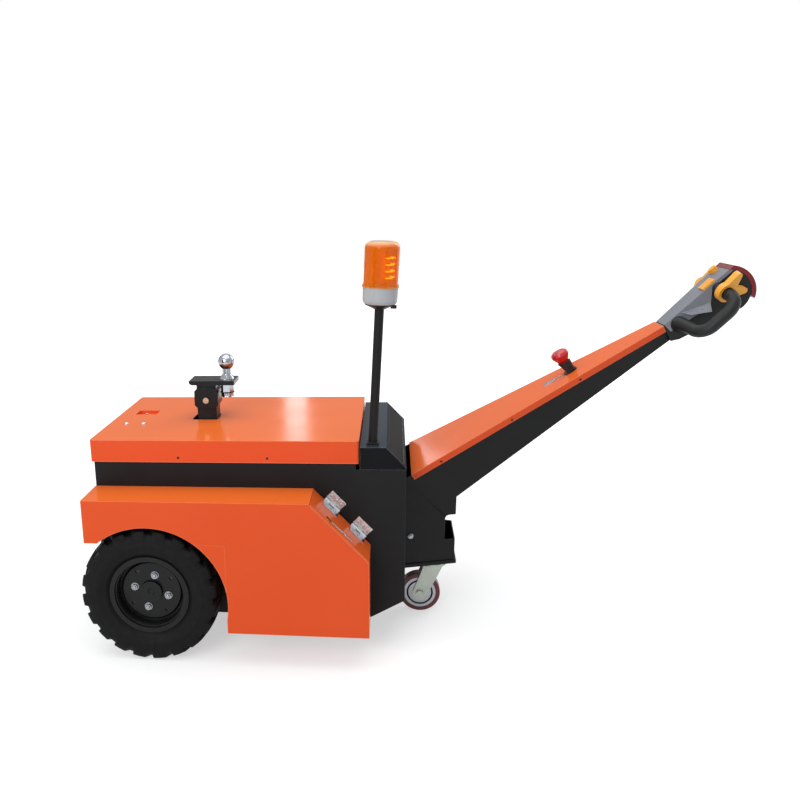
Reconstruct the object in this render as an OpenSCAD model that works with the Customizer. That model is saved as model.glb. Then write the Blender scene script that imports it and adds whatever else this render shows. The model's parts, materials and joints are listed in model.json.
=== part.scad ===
// Pedestrian electric tow tractor: steel chassis on two driven wheels and a swivel caster,
// tow ball on a post, beacon on a pole, and a fixed tiller arm with a control head.
// Millimetres. +X runs from the ball end to the tiller, +Z is up, the floor is z = 0.

/* [Chassis] */
// Chassis width over its side plates
chassis_w = 558; // [520:1:600]
// Chassis reach ahead of the drive axle
chassis_front = 168; // [150:1:174]
// Chassis reach behind the drive axle
chassis_rear = 716; // [700:1:740]
// Height of the chassis floor
chassis_low = 100; // [90:1:110]
// Height of the lower edge of the rear plate
rear_low = 155; // [150:1:165]
// Thickness of the chassis plate
plate_t = 5; // [3:0.5:8]

/* [Lid] */
// Lid reach ahead of the drive axle
lid_front = 177; // [176:1:195]
// Lid reach behind the drive axle
lid_rear = 589; // [570:1:595]
// Height of the lid's top
lid_top = 625; // [600:1:650]
// Depth of the lid's flange
lid_flange = 64; // [40:1:75]
// Thickness of the lid's sheet
lid_t = 2.5; // [1.5:0.5:4]
// Corner radius of the lid, seen from above
lid_r = 8; // [4:1:20]

/* [Console] */
// Height of the console's flat top
console_top = 607; // [595:1:618]
// Height of the seam between chassis and console
console_seam = 543; // [520:1:546]
// End of the console's flat top, behind the drive axle
console_flat = 663; // [650:1:680]
// Height where the console's slope ends
console_lip = 550; // [548:1:570]

/* [Fenders] */
// Fender reach ahead of the drive axle
fender_front = 170; // [165:1:176]
// Fender reach behind the drive axle
fender_rear = 620; // [600:1:640]
// Height of the fender's top
fender_top = 488; // [470:1:510]
// Height of the front lower edge
fender_front_low = 363; // [340:1:380]
// Height of the rear lower edge
fender_low = 103; // [95:1:130]
// Thickness of the fender's sheet
fender_t = 3; // [2:0.5:5]
// Start of the sloping flap, behind the drive axle
flap_start = 463; // [440:1:480]
// Height of the flap's lower end
flap_end_z = 327; // [310:1:340]
// Room between tyre and arch edge
arch_gap = 24; // [20:1:30]

/* [Drive wheels] */
// Outer diameter of the drive tyre
tyre_d = 400; // [380:1:410]
// Section width of the drive tyre
tyre_w = 105; // [90:1:115]
// Bead seat diameter of the rim
rim_d = 206; // [190:1:215]
// Rim width between its flanges
rim_w = 72; // [60:1:80]
// Height of the rim flange
flange_h = 12; // [8:1:15]
// Hub diameter
hub_d = 62; // [50:1:70]
// Spindle diameter
spindle_d = 28; // [20:1:35]
// Lugs round the tyre
lugs = 20; // [16:1:24]
// Height of the lugs
lug_h = 10; // [6:1:12]
// Room between chassis side and tyre
wheel_gap = 18; // [12:1:24]
// Depth of the tyre behind the fender's outer face
wheel_inset = 12; // [8:1:20]

/* [Hitch] */
// Square post width
post_w = 60; // [50:1:66]
// Post centre behind the drive axle
post_x = 117; // [100:1:135]
// Height of the ball plate's top
ball_plate_z = 746; // [735:1:780]
// Thickness of the ball plate
ball_plate_t = 13; // [8:1:18]
// Ball plate length
ball_plate_len = 140; // [130:1:160]
// Ball plate width
ball_plate_w = 86; // [78:1:100]
// Tow ball diameter
ball_d = 50; // [47:0.5:51]
// Ball centre above its plate
ball_rise = 52; // [46:1:60]

/* [Beacon] */
// Pole centre behind the drive axle
pole_x = 626; // [615:1:645]
// Pole centre in from the chassis side
pole_inset = 40; // [25:1:60]
// Pole diameter
pole_d = 25; // [20:1:30]
// Pole length
pole_len = 372; // [330:1:420]
// Lean of the pole towards the tiller
pole_lean = 2.8; // [0:0.1:4]
// Beacon lens diameter
lens_d = 98; // [80:1:110]
// Beacon lens height
lens_h = 119; // [90:1:130]

/* [Tiller arm] */
// Arm root behind the drive axle
arm_root = 733; // [731:1:745]
// Height of the arm cover at its root
arm_root_z = 497; // [480:1:510]
// Width of the arm at its root
arm_root_w = 340; // [320:1:360]
// Slope of the arm
arm_angle = 30.1; // [27:0.1:33]
// Length of the arm cover
arm_len = 793; // [770:1:815]
// Turn of each side plate towards the head
arm_toe = 17.3; // [16.5:0.1:17.6]
// Lean of each side plate, narrower below
arm_lean = 11.7; // [10.5:0.1:12.5]
// Depth of the arm at the head end
arm_end_depth = 50; // [40:1:56]
// Thickness of the arm's plate
arm_t = 4; // [3:0.5:6]
// Depth of the arm cover's flange
arm_flange = 20; // [14:1:28]
// Thickness of the arm cover's sheet
arm_cover_t = 2.5; // [1.5:0.5:4]
// Rear face of the leg, behind the drive axle
leg_rear = 866; // [855:1:880]
// Height where the leg turns into the arm
leg_top = 411; // [400:1:425]
// Lower edge of the leg's rear window
window_z0 = 268; // [255:1:280]
// Upper edge of the leg's rear window
window_z1 = 352; // [340:1:365]
// Depth of the rear window
window_d = 31; // [24:1:40]

/* [Caster] */
// Underside of the base plate
base_z = 183; // [178:1:195]
// Thickness of the base plate
base_t = 12; // [8:1:16]
// Swivel axis behind the drive axle
swivel_x = 806; // [800:1:815]
// Caster wheel diameter
caster_d = 125; // [115:1:130]
// Caster wheel width
caster_w = 38; // [32:1:42]
// Trail of the caster wheel
caster_trail = 40; // [30:1:45]
// Caster axle diameter
caster_pin_d = 12; // [8:1:16]

/* [Control head] */
// Tilt of the head
head_tilt = 45; // [42:0.5:48]
// Width of the head at its base
head_base_w = 78; // [70:1:82]
// Width of the head at its top
head_top_w = 112; // [104:1:120]
// Centre of the head's round nose along the head
nose_s = 170; // [165:1:176]
// Radius over the belly button
nose_r = 72; // [68:1:76]
// Grip tube diameter
grip_d = 34; // [28:1:38]
// Reach of each grip loop out from the head's side
grip_reach = 100; // [85:1:115]

/* [Hidden] */

$fn = 64;
big = 3000;
eps = 1;
// Seat between pieces that lie on each other
seat = 0.2;
// Radial room of a turning fit
run_gap = 0.3;

// Drive axle, placed so that the origin is midway between the tyres' front and the head's nose
head_gap = 4;
nose_t = -44;
tip_reach = arm_root + (arm_len + head_gap) * cos(arm_angle)
    + nose_s * cos(head_tilt) - nose_t * sin(head_tilt) + nose_r;
axle_x = (tyre_d / 2 - tip_reach) / 2;

// Chassis places
x_front = axle_x - chassis_front;
x_rear = axle_x + chassis_rear;
axle_z = tyre_d / 2;
side_y = chassis_w / 2;
rim_top = lid_top - lid_t - seat;
x_lid0 = axle_x - lid_front;
x_lid1 = axle_x + lid_rear;
lid_gap = 0.6;
lid_side = side_y + lid_gap + lid_t;
console_t = 5;
// Rim of the chassis under the lid, short of the lid's round rear corners
x_rim = x_lid1 - lid_r - lid_gap;
axle_tube_d = 60;
axle_flange_y = side_y + 6;
// Transaxle housing and upright motor: diameter and length of each, and the motor's place to the right
housing = [160, 150];
motor = [120, 320];
motor_y = 40;
// Battery pack: start behind the axle, then its length, height and room at each side
battery_x = 200;
battery = [380, 230];
battery_room = 60;

// Fender places
fender_w = wheel_gap + tyre_w + wheel_inset;
fender_y = side_y + fender_w;
x_fend0 = axle_x - fender_front;
x_fend1 = axle_x + fender_rear;
arch_r = tyre_d / 2 + arch_gap;
arch_c = [axle_x + 7, axle_z - 13];
x_arch = arch_c[0] + arch_r - 4;
x_bulk = arch_c[0] + arch_r + 0.5;
flap_t = 3;
flap_gap = 2;
flap_seat = 0.3;
x_flap = axle_x + flap_start;
flap_len = norm([x_fend1 - x_flap, fender_top - flap_end_z]);
flap_drop = atan2(fender_top - flap_end_z, x_fend1 - x_flap);

// Hinge: leaf lengths, knuckle and places along the flap
hinge_len = 54;
knuckle_r = 5;
leaf_t = 2;
wall_leaf = 24;
flap_leaf = 42;
hinge_y = side_y + knuckle_r + 1.2;
hinge_rise = knuckle_r + 0.4;
hinge_places = [68, 172];
pull_place = 110;
pull_len = 100;
pull_w = 14;
pull_inset = 31;

// Wheel places: the rim's disc, its boss and stepped rim, and the spindle's end, out from the wheel's middle
wheel_y = side_y + wheel_gap + tyre_w / 2;
disc_z = 8;
disc_t = 5;
disc_step = 6;
boss_h = 10;
spindle_z = disc_z - 2;
// Hand holes in the disc: number, circle radius, diameter, turn
hand_holes = [4, rim_d / 2 - 33, 12, 35];

// Tyre tread: share of the pitch that a lug takes, turn of its flank, lead of the rib over the shoulder,
// half width of the rib, shoulder's inset, and depth of the side wall's widest line
lug_share = 0.62;
lug_flank = 1.2;
lug_lead = 5;
rib_half = 8;
shoulder = 10;
wall_depth = 48;

// Hitch places
x_post = axle_x + post_x;
post_wall = 5;
sleeve_wall = 6;
sleeve_gap = 0.5;
sleeve_w = post_w + 2 * (sleeve_wall + sleeve_gap);
sleeve_z = [660, 722];
plate_front = 50;
ball_offset = 61;
hitch_bolt_z = 685;
hitch_bolt_r = 6;
shank_d = 22;

// Beacon places
pole_y = -(side_y - pole_inset);
x_pole = axle_x + pole_x;
bracket_h = 12;
beacon_base_h = 46;
lens_wall = 3;

// Arm places
x_arm = axle_x + arm_root;
x_leg = x_rear + seat;
x_leg_rear = axle_x + leg_rear;
leg_low = base_z + base_t + seat;
cover_gap = 0.5;

// Disconnect switch: place along the arm, height and bore of its body, and its foot
switch_at = 522;
switch_body_h = 34;
switch_d = 28;
switch_foot = [46, 30, 5];

// Caster places
x_swivel = axle_x + swivel_x;
x_caster = x_swivel - caster_trail;
caster_z = caster_d / 2;
tread_t = 13;
// Top plate: length, width, thickness. Race: diameter, height. Kingpin: length below the race
caster_top = [104, 84, 6];
race = [76, 12];
kingpin = 14;
fork_gap = 5;
fork_t = 5;
fork_y = caster_w / 2 + fork_gap;
swivel_pin_r = 8;

// Head places
head_at = [
    x_arm + (arm_len + head_gap) * cos(arm_angle),
    arm_root_z + (arm_len + head_gap) * sin(arm_angle)
];
belly_t = 12;
// Seam between shell and base on the head's side: along the head, above its face
head_seam = [[0, -26], [0.68 * nose_s, -44], [0.88 * nose_s, -10], [nose_s, -9]];
head_low = [-58, -104];
grip_droop = 29;
grip_bend = 40;
grip_top = [nose_s - 9, -11];
grip_root = 26;
grip_rake = 14;
throttle_out = 30;

// A point on the arm: a along its slope from the root, b above its top
function arm_pt(a, b) = [
    x_arm + a * cos(arm_angle) - b * sin(arm_angle),
    arm_root_z + a * sin(arm_angle) + b * cos(arm_angle)
];

// Height of the line b on the arm at a given x
function arm_line(x, b) = arm_pt((x - x_arm + b * sin(arm_angle)) / cos(arm_angle), b)[1];

// Half width of the arm, side to side, at a place in the XZ plane
function arm_half_w(x, z) = arm_root_w / 2 - (x - x_arm) * tan(arm_toe)
    + (z - arm_root_z) * tan(arm_lean) / cos(arm_toe);

// An XZ outline given a width across the tractor
module across(w) {
    rotate([90, 0, 0]) linear_extrude(w, center = true) children();
}

// An XZ outline between two distances out on the left side
module left_band(y0, y1) {
    translate([0, -y0, 0]) rotate([90, 0, 0]) linear_extrude(y1 - y0) children();
}

// Copy of a left-hand piece on the right
module right_side() {
    mirror([0, 1, 0]) children();
}

module slab(low, high) {
    translate(low) cube(high - low);
}

module chassis_outline(t, top) {
    polygon([
        [x_front + t, chassis_low + t],
        [x_fend1, chassis_low + t],
        [x_rear - t, rear_low + t],
        [x_rear - t, top],
        [x_front + t, top]
    ]);
}

module chassis_shell() {
    color("#1f1f20") difference() {
        across(chassis_w) chassis_outline(0, rim_top);
        across(chassis_w - 2 * plate_t) chassis_outline(plate_t, rim_top + eps);
        slab([x_rim, -side_y - eps, console_seam], [x_rear + eps, side_y + eps, rim_top + eps]);
        translate([axle_x, 0, axle_z]) rotate([90, 0, 0])
            cylinder(d = axle_tube_d + 2, h = chassis_w + 2 * eps, center = true);
    }
}

// Battery pack as one plain block on the chassis floor
module battery_block() {
    low = chassis_low + plate_t;
    color("#3b3f45") slab(
        [axle_x + battery_x, -side_y + battery_room, low],
        [axle_x + battery_x + battery[0], side_y - battery_room, low + battery[1]]
    );
}

// Transaxle with its motor, and the fixed spindles that carry the drive wheels
module drive_unit() {
    spindle_end = wheel_y + spindle_z;
    color("#4a4d50") translate([axle_x, 0, axle_z]) {
        rotate([90, 0, 0]) {
            cylinder(d = housing[0], h = housing[1], center = true);
            cylinder(d = axle_tube_d, h = 2 * axle_flange_y, center = true);
            cylinder(d = spindle_d, h = 2 * spindle_end, center = true);
        }
        translate([0, motor_y, 0]) cylinder(d = motor[0], h = motor[1]);
    }
}

module lid_plan(inset) {
    r = max(lid_r - inset, 1);
    translate([x_lid0 + inset + r, -lid_side + inset + r])
        offset(r) square([lid_front + lid_rear - 2 * (inset + r), 2 * (lid_side - inset - r)]);
}

module top_cover() {
    // room round the post: ahead, left and right of it
    post_room = [16, 6, 8];
    // pocket near the front: its low and high corner on the lid, and its depth
    port0 = [axle_x - 128, 28];
    port1 = [axle_x - 60, 84];
    port_depth = 12;
    color("#e0562c") difference() {
        union() {
            difference() {
                translate([0, 0, lid_top - lid_flange]) linear_extrude(lid_flange) lid_plan(0);
                translate([0, 0, lid_top - lid_flange - eps])
                    linear_extrude(lid_flange - lid_t + eps) lid_plan(lid_t);
            }
            slab(
                [port0[0] - lid_t, port0[1] - lid_t, lid_top - port_depth - lid_t],
                [port1[0] + lid_t, port1[1] + lid_t, lid_top - lid_t / 2]
            );
        }
        slab([port0[0], port0[1], lid_top - port_depth], [port1[0], port1[1], lid_top + eps]);
        slab(
            [x_post - post_w / 2 - post_room[0], -post_w / 2 - post_room[1], lid_top - lid_t - eps],
            [x_post + post_w / 2 + 2, post_w / 2 + post_room[2], lid_top + eps]
        );
    }
}

module console_outline(t) {
    x0 = x_lid1 + 2 + t;
    x1 = x_rear + 2 - t;
    low = console_seam + (t > 0 ? -eps : seat);
    polygon([
        [x0, low],
        [x1, low],
        [x1, console_lip],
        [axle_x + console_flat, console_top - t],
        [x0, console_top - t]
    ]);
}

// Console with a panel set into its slope
module console() {
    // border beside, above and below the panel
    border = [24, 12, 8];
    sunk = 2;
    start = [axle_x + console_flat, console_top];
    run = [x_rear + 2, console_lip] - start;
    slope = atan2(-run[1], run[0]);
    color("#1c1d1f") difference() {
        across(chassis_w) console_outline(0);
        across(chassis_w - 2 * console_t) console_outline(console_t);
        translate([start[0], 0, start[1]]) rotate([0, slope, 0]) slab(
            [border[1], border[0] - chassis_w / 2, -sunk],
            [norm(run) - border[2], chassis_w / 2 - border[0], console_t]
        );
    }
}

// Places a shape drawn along the flap: x down the slope, z square to it, y across
module on_flap() {
    translate([x_flap, 0, fender_top]) rotate([0, flap_drop, 0]) children();
}

module fender_side() {
    difference() {
        polygon([
            [x_fend0, fender_front_low],
            [x_fend0, fender_top],
            [x_flap, fender_top],
            [x_fend1, flap_end_z],
            [x_fend1, fender_low],
            [x_arch, fender_low],
            [x_arch, fender_front_low]
        ]);
        translate(arch_c) circle(arch_r);
    }
}

module fender_left() {
    y_in = side_y - eps;
    y_skin = fender_y - fender_t;
    color("#e0562c") difference() {
        left_band(side_y + seat, fender_y) fender_side();
        // wheel bay
        left_band(y_in, y_skin) polygon([
            [x_fend0 + fender_t, 0],
            [x_bulk, 0],
            [x_bulk, fender_top - fender_t],
            [x_fend0 + fender_t, fender_top - fender_t]
        ]);
        // locker behind the wheel
        left_band(y_in, y_skin) polygon([
            [x_bulk + fender_t, fender_low + fender_t],
            [x_fend1 - fender_t, fender_low + fender_t],
            [x_fend1 - fender_t, fender_top - fender_t],
            [x_bulk + fender_t, fender_top - fender_t]
        ]);
        // seat of the flap
        on_flap() slab(
            [0, -fender_y - eps, -flap_t - flap_seat],
            [flap_len + 2 * fender_t, -y_in, 2 * fender_t]
        );
    }
}

module fender_right() {
    right_side() fender_left();
}

module flap_left() {
    color("#e0562c") difference() {
        on_flap() slab([flap_gap, -fender_y, -flap_t], [flap_len, -side_y - 4, 0]);
        on_flap() for (end = [-1, 1])
            translate([pull_place + end * (pull_len - pull_w) / 2, pull_inset - fender_y, -flap_t - eps])
                cylinder(d = pull_w, h = flap_t + 2 * eps);
        on_flap() slab(
            [pull_place - (pull_len - pull_w) / 2, pull_inset - fender_y - pull_w / 2, -flap_t - eps],
            [pull_place + (pull_len - pull_w) / 2, pull_inset - fender_y + pull_w / 2, eps]
        );
    }
}

module flap_right() {
    right_side() flap_left();
}

// Knuckles along the hinge line, from start for a length
module knuckle(start, length, r) {
    translate([start, -hinge_y, hinge_rise]) rotate([0, 90, 0]) cylinder(r = r, h = length);
}

module hinge_fixed_left() {
    third = hinge_len / 3;
    color("#d8dadd") on_flap() for (s = hinge_places) {
        knuckle(s - third / 2 + run_gap, third - 2 * run_gap, knuckle_r);
        knuckle(s - hinge_len / 2, hinge_len, knuckle_r / 2);
        slab(
            [s - third / 2 + run_gap, -hinge_y, hinge_rise],
            [s + third / 2 - run_gap, -side_y - seat, hinge_rise + knuckle_r]
        );
        slab(
            [s - hinge_len / 2, -side_y - seat - leaf_t, hinge_rise + knuckle_r],
            [s + hinge_len / 2, -side_y - seat, hinge_rise + knuckle_r + wall_leaf]
        );
        slab(
            [s - third / 2 + run_gap, -side_y - seat - leaf_t, hinge_rise],
            [s + third / 2 - run_gap, -side_y - seat, hinge_rise + knuckle_r + eps]
        );
    }
}

module hinge_fixed_right() {
    right_side() hinge_fixed_left();
}

module hinge_moving_left() {
    third = hinge_len / 3;
    color("#d8dadd") on_flap() for (s = hinge_places) difference() {
        union() {
            for (start = [s - hinge_len / 2, s + third / 2]) {
                knuckle(start, third, knuckle_r);
                slab([start, -hinge_y - knuckle_r, seat], [start + third, -hinge_y, hinge_rise]);
            }
            slab(
                [s - hinge_len / 2, -hinge_y - flap_leaf, seat],
                [s + hinge_len / 2, -hinge_y - knuckle_r - run_gap, seat + leaf_t]
            );
            for (start = [s - hinge_len / 2, s + third / 2])
                slab(
                    [start, -hinge_y - knuckle_r - 2 * run_gap, seat],
                    [start + third, -hinge_y - knuckle_r + eps, seat + leaf_t]
                );
        }
        knuckle(s - hinge_len / 2 - eps, hinge_len + 2 * eps, knuckle_r / 2 + run_gap);
    }
}

module hinge_moving_right() {
    right_side() hinge_moving_left();
}

module hitch_post() {
    half = post_w / 2;
    top = ball_plate_z - ball_plate_t - seat;
    color("#18181a") difference() {
        slab([x_post - half, -half, chassis_low + plate_t + seat], [x_post + half, half, top]);
        slab(
            [x_post - half + post_wall, -half + post_wall, 0],
            [x_post + half - post_wall, half - post_wall, top - post_wall]
        );
        translate([x_post, 0, hitch_bolt_z]) rotate([90, 0, 0])
            cylinder(r = hitch_bolt_r + seat, h = 2 * post_w, center = true);
    }
}

// Sleeve with clipped corners that clamps round the post
module hitch_sleeve() {
    clip = 9;
    half = sleeve_w / 2;
    inner = post_w / 2 + sleeve_gap;
    z0 = sleeve_z[0];
    z1 = sleeve_z[1];
    color("#18181a") difference() {
        across(sleeve_w) polygon([
            [x_post - half + clip, z0], [x_post + half - clip, z0],
            [x_post + half, z0 + clip], [x_post + half, z1 - clip],
            [x_post + half - clip, z1], [x_post - half + clip, z1],
            [x_post - half, z1 - clip], [x_post - half, z0 + clip]
        ]);
        slab([x_post - inner, -inner, z0 - eps], [x_post + inner, inner, z1 + eps]);
        translate([x_post, 0, hitch_bolt_z]) rotate([90, 0, 0])
            cylinder(r = hitch_bolt_r + seat, h = 2 * post_w, center = true);
    }
}

// Ball plate with a rounded lower front edge
module ball_plate() {
    x0 = x_post - plate_front;
    round = ball_plate_t - 2;
    low = ball_plate_z - ball_plate_t;
    color("#18181a") difference() {
        across(ball_plate_w) intersection() {
            translate([x0, low]) square([ball_plate_len, ball_plate_t]);
            union() {
                translate([x0 + round, low]) square([ball_plate_len, ball_plate_t]);
                translate([x0, low + round]) square([ball_plate_len, ball_plate_t]);
                translate([x0 + round, low + round]) circle(round);
            }
        }
        translate([x_post + ball_offset, 0, low - eps])
            cylinder(d = shank_d + 2 * seat, h = ball_plate_t + 2 * eps);
    }
}

module hitch_bolt() {
    head = 5;
    length = sleeve_w / 2 + seat;
    color("#c9c6c0") translate([x_post, 0, hitch_bolt_z]) rotate([90, 0, 0]) {
        cylinder(r = hitch_bolt_r, h = 2 * length + 2 * head - 1, center = true);
        for (end = [-1, 1]) translate([0, 0, end * (length + head / 2)])
            cylinder(r = 1.5 * hitch_bolt_r, h = head, center = true);
    }
}

module tow_ball() {
    base_h = 8;
    neck_d = 0.52 * ball_d;
    nut_h = 28;
    nut_d = shank_d + 18;
    color("#d5d8dc") translate([x_post + ball_offset, 0, ball_plate_z]) {
        translate([0, 0, ball_rise]) sphere(d = ball_d);
        translate([0, 0, seat]) cylinder(d1 = nut_d + 6, d2 = nut_d - 2, h = base_h);
        translate([0, 0, base_h]) cylinder(d1 = neck_d + 8, d2 = neck_d, h = base_h);
        cylinder(d = neck_d, h = ball_rise);
        translate([0, 0, -ball_plate_t - nut_h]) cylinder(d = shank_d, h = ball_plate_t + nut_h + eps);
        translate([0, 0, -ball_plate_t - nut_h - seat]) cylinder(d = nut_d, h = nut_h, $fn = 6);
    }
}

// Places a shape drawn up the beacon's pole
module on_pole() {
    translate([x_pole, pole_y, console_top + seat]) rotate([0, pole_lean, 0]) children();
}

// Places a shape at the underside of the beacon's lens
module on_lens() {
    on_pole() translate([0, 0, pole_len + bracket_h + beacon_base_h + 3 * seat]) children();
}

module beacon_pole() {
    foot_w = 34;
    foot_h = 6;
    color("#222224") {
        translate([x_pole - foot_w / 2, pole_y - foot_w / 2, console_top + seat])
            cube([foot_w, foot_w, foot_h]);
        translate([0, 0, foot_h / 2]) on_pole() cylinder(d = pole_d, h = pole_len - foot_h / 2);
    }
}

// Cup that holds the beacon, with a clamp knob on its right
module beacon_bracket() {
    knob = [bracket_h - 2, 16];
    color("#1d1d1f") on_pole() translate([0, 0, pole_len + seat]) {
        cylinder(d1 = pole_d + 4, d2 = lens_d - 18, h = bracket_h);
        translate([lens_d / 2 - knob[1] - 4, 0, bracket_h / 2 + 1])
            rotate([0, 90, 0]) cylinder(d = knob[0], h = knob[1]);
    }
}

module beacon_base() {
    r = lens_d / 2 - 2;
    color("#b9bcc0") on_pole() translate([0, 0, pole_len + bracket_h + 2 * seat]) rotate_extrude() polygon([
        [0, 0], [r - 11, 0], [r - 4, 3], [r - 1, 10], [r, beacon_base_h], [0, beacon_base_h]
    ]);
}

// Stack of lamp rings on a stem, seen through the lens
module beacon_core() {
    r = lens_d / 5;
    rows = 4;
    pitch = lens_h / 7;
    color("#e8b23a") on_lens() translate([0, 0, lens_wall + seat]) {
        cylinder(r = r - 4, h = (rows + 1) * pitch);
        for (k = [0:rows - 1]) translate([0, 0, (k + 0.6) * pitch]) cylinder(r = r, h = pitch / 2.5);
    }
}

// Half section of a cap with a rounded top edge
module lens_outline(r, top, dome) {
    square([r - dome, top]);
    square([r, top - dome]);
    translate([r - dome, top - dome]) circle(dome);
}

// Hollow amber cap on a base ring
module beacon_lens() {
    r = lens_d / 2;
    ring = [3, 7];
    dome = 18;
    color("#e2730f") on_lens() rotate_extrude() difference() {
        union() {
            square([r, ring[1]]);
            intersection() {
                lens_outline(r - ring[0], lens_h, dome);
                square([r, lens_h]);
            }
        }
        translate([0, lens_wall]) intersection() {
            lens_outline(r - ring[0] - lens_wall, lens_h - 2 * lens_wall, dome - lens_wall);
            square([r, lens_h]);
        }
    }
}

// Everything between the arm's two leaning side planes, moved in by a distance
module arm_half(inset) {
    translate([x_arm, -arm_root_w / 2, arm_root_z]) rotate([arm_lean, 0, arm_toe])
        translate([-big, inset, -big]) cube(2 * big);
}

module arm_sides(inset) {
    intersection() {
        arm_half(inset);
        right_side() arm_half(inset);
    }
}

module arm_frame() {
    top = -arm_cover_t - seat;
    in_x0 = x_leg + arm_t;
    in_x1 = x_leg_rear - arm_t;
    corner = 12;
    color("#1f1f20") difference() {
        intersection() {
            across(2 * arm_root_w) polygon([
                [x_leg, leg_low],
                [x_leg_rear, leg_low],
                [x_leg_rear, leg_top],
                arm_pt(arm_len, -arm_end_depth),
                arm_pt(arm_len, top),
                [x_leg, arm_line(x_leg, top)]
            ]);
            arm_sides(0);
        }
        intersection() {
            across(2 * arm_root_w) polygon([
                [in_x0, leg_low - eps],
                [in_x1, leg_low - eps],
                [in_x1, leg_top + 1.5 * arm_t],
                arm_pt(arm_len - arm_t, -arm_end_depth + arm_t),
                arm_pt(arm_len - arm_t, top + eps),
                [in_x0, arm_line(in_x0, top + eps)]
            ]);
            arm_sides(arm_t);
        }
        across(2 * arm_root_w) union() {
            translate([x_leg_rear - window_d + corner, window_z0])
                square([window_d, window_z1 - window_z0]);
            translate([x_leg_rear - window_d, window_z0])
                square([window_d, window_z1 - window_z0 - corner]);
            translate([x_leg_rear - window_d + corner, window_z1 - corner]) circle(corner);
        }
    }
}

module arm_cover() {
    color("#e0562c") difference() {
        intersection() {
            across(2 * arm_root_w) polygon([
                arm_pt(0, 0), arm_pt(arm_len, 0), arm_pt(arm_len, -arm_flange), arm_pt(0, -arm_flange)
            ]);
            arm_sides(-arm_cover_t - cover_gap);
        }
        intersection() {
            across(2 * arm_root_w) polygon([
                arm_pt(-eps, -arm_cover_t), arm_pt(arm_len + eps, -arm_cover_t),
                arm_pt(arm_len + eps, -arm_flange - eps), arm_pt(-eps, -arm_flange - eps)
            ]);
            arm_sides(-cover_gap);
        }
    }
}

module base_plate() {
    lip = 6;
    x1 = x_leg_rear + lip;
    half0 = arm_half_w(x_leg, base_z) + lip;
    half1 = arm_half_w(x1, base_z) + lip;
    color("#1f1f20") translate([0, 0, base_z]) linear_extrude(base_t) polygon([
        [x_leg, -half0], [x1, -half1], [x1, half1], [x_leg, half0]
    ]);
}

// Places a shape on the arm cover: x along the arm, z square to it
module on_arm(a) {
    translate([arm_pt(a, 0)[0], 0, arm_pt(a, 0)[1]]) rotate([0, -arm_angle, 0]) children();
}

// Black switch body: a foot and a collar, open at the front where the red key's cone shows
module switch_body() {
    wall = 5;
    half = (switch_foot[0] - switch_foot[1]) / 2;
    low = switch_foot[2];
    color("#161617") on_arm(switch_at) translate([0, 0, seat]) difference() {
        union() {
            for (end = [-1, 1]) translate([end * half, 0, 0]) cylinder(d = switch_foot[1], h = low);
            slab([-half, -switch_foot[1] / 2, 0], [half, switch_foot[1] / 2, low]);
            cylinder(d = switch_d + 2 * wall, h = switch_body_h);
        }
        translate([0, 0, low]) cylinder(d = switch_d, h = switch_body_h);
        translate([-wall, 0, low]) rotate([0, -24, 0])
            slab([-switch_body_h, -switch_body_h, 0], [0, switch_body_h, 2 * switch_body_h]);
    }
}

// Red key: a cone that stands in the body and a mushroom head
module switch_knob() {
    r = switch_d / 2 - seat;
    cap_r = 26;
    h = switch_body_h - switch_foot[2];
    color("#d01f2a") on_arm(switch_at) translate([0, 0, switch_foot[2] + 2 * seat]) rotate_extrude() polygon([
        [0, 0], [r - 4, 0], [r, h + 1], [r + 3, h + 6], [cap_r - 2, h + 18], [cap_r, h + 24],
        [cap_r - 2, h + 31], [cap_r - 9, h + 36], [0, h + 38]
    ]);
}

// Metal tag on a short stiff wire from the switch's foot
module switch_tether() {
    tag = [34, 24, 2];
    wire = 3;
    reach = 62;
    color("#b8bbbf") on_arm(switch_at - reach) translate([-tag[0] / 2, -tag[1] / 2, seat]) {
        cube(tag);
        translate([tag[0] - eps, (tag[1] - wire) / 2, 0])
            cube([reach - (tag[0] + switch_foot[0]) / 2 - seat + eps, wire, wire]);
    }
}

// A point on the head's middle plane: s up the head, t above its face
function head_pt(s, t) = [
    head_at[0] + s * cos(head_tilt) - t * sin(head_tilt),
    head_at[1] + s * sin(head_tilt) + t * cos(head_tilt)
];

// Places a shape on the control head: x up the head, z square to its face
module on_head() {
    translate([head_at[0], 0, head_at[1]]) rotate([0, -head_tilt, 0]) children();
}

// Side outline of the head inside a nose radius
module head_profile(r) {
    intersection() {
        union() {
            translate([0, head_low[1]]) square([nose_s, -head_low[1]]);
            translate([nose_s, nose_t]) circle(r);
        }
        polygon([
            [0, 0], [nose_s + r, 0], [nose_s + r, head_low[1]], [nose_s, head_low[1]], [0, head_low[0]]
        ]);
    }
}

module head_plan(grow) {
    base = head_base_w / 2 + grow;
    top = head_top_w / 2 + grow;
    polygon([[-eps, -base], [nose_s + nose_r, -top], [nose_s + nose_r, top], [-eps, base]]);
}

// Everything between the head's two sides
module head_sides(grow) {
    translate([0, 0, -big / 2]) linear_extrude(big) head_plan(grow);
}

// Side of the seam that the shell or the base takes: the shell is a thin lid over the nose
module head_split(above, gap) {
    far = above ? eps : 2 * head_low[1];
    end = nose_s + nose_r;
    polygon(concat(
        [for (p = head_seam) [p[0], p[1] - gap]],
        [[end, head_seam[3][1] - gap], [end, far], [0, far]]
    ));
}

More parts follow.
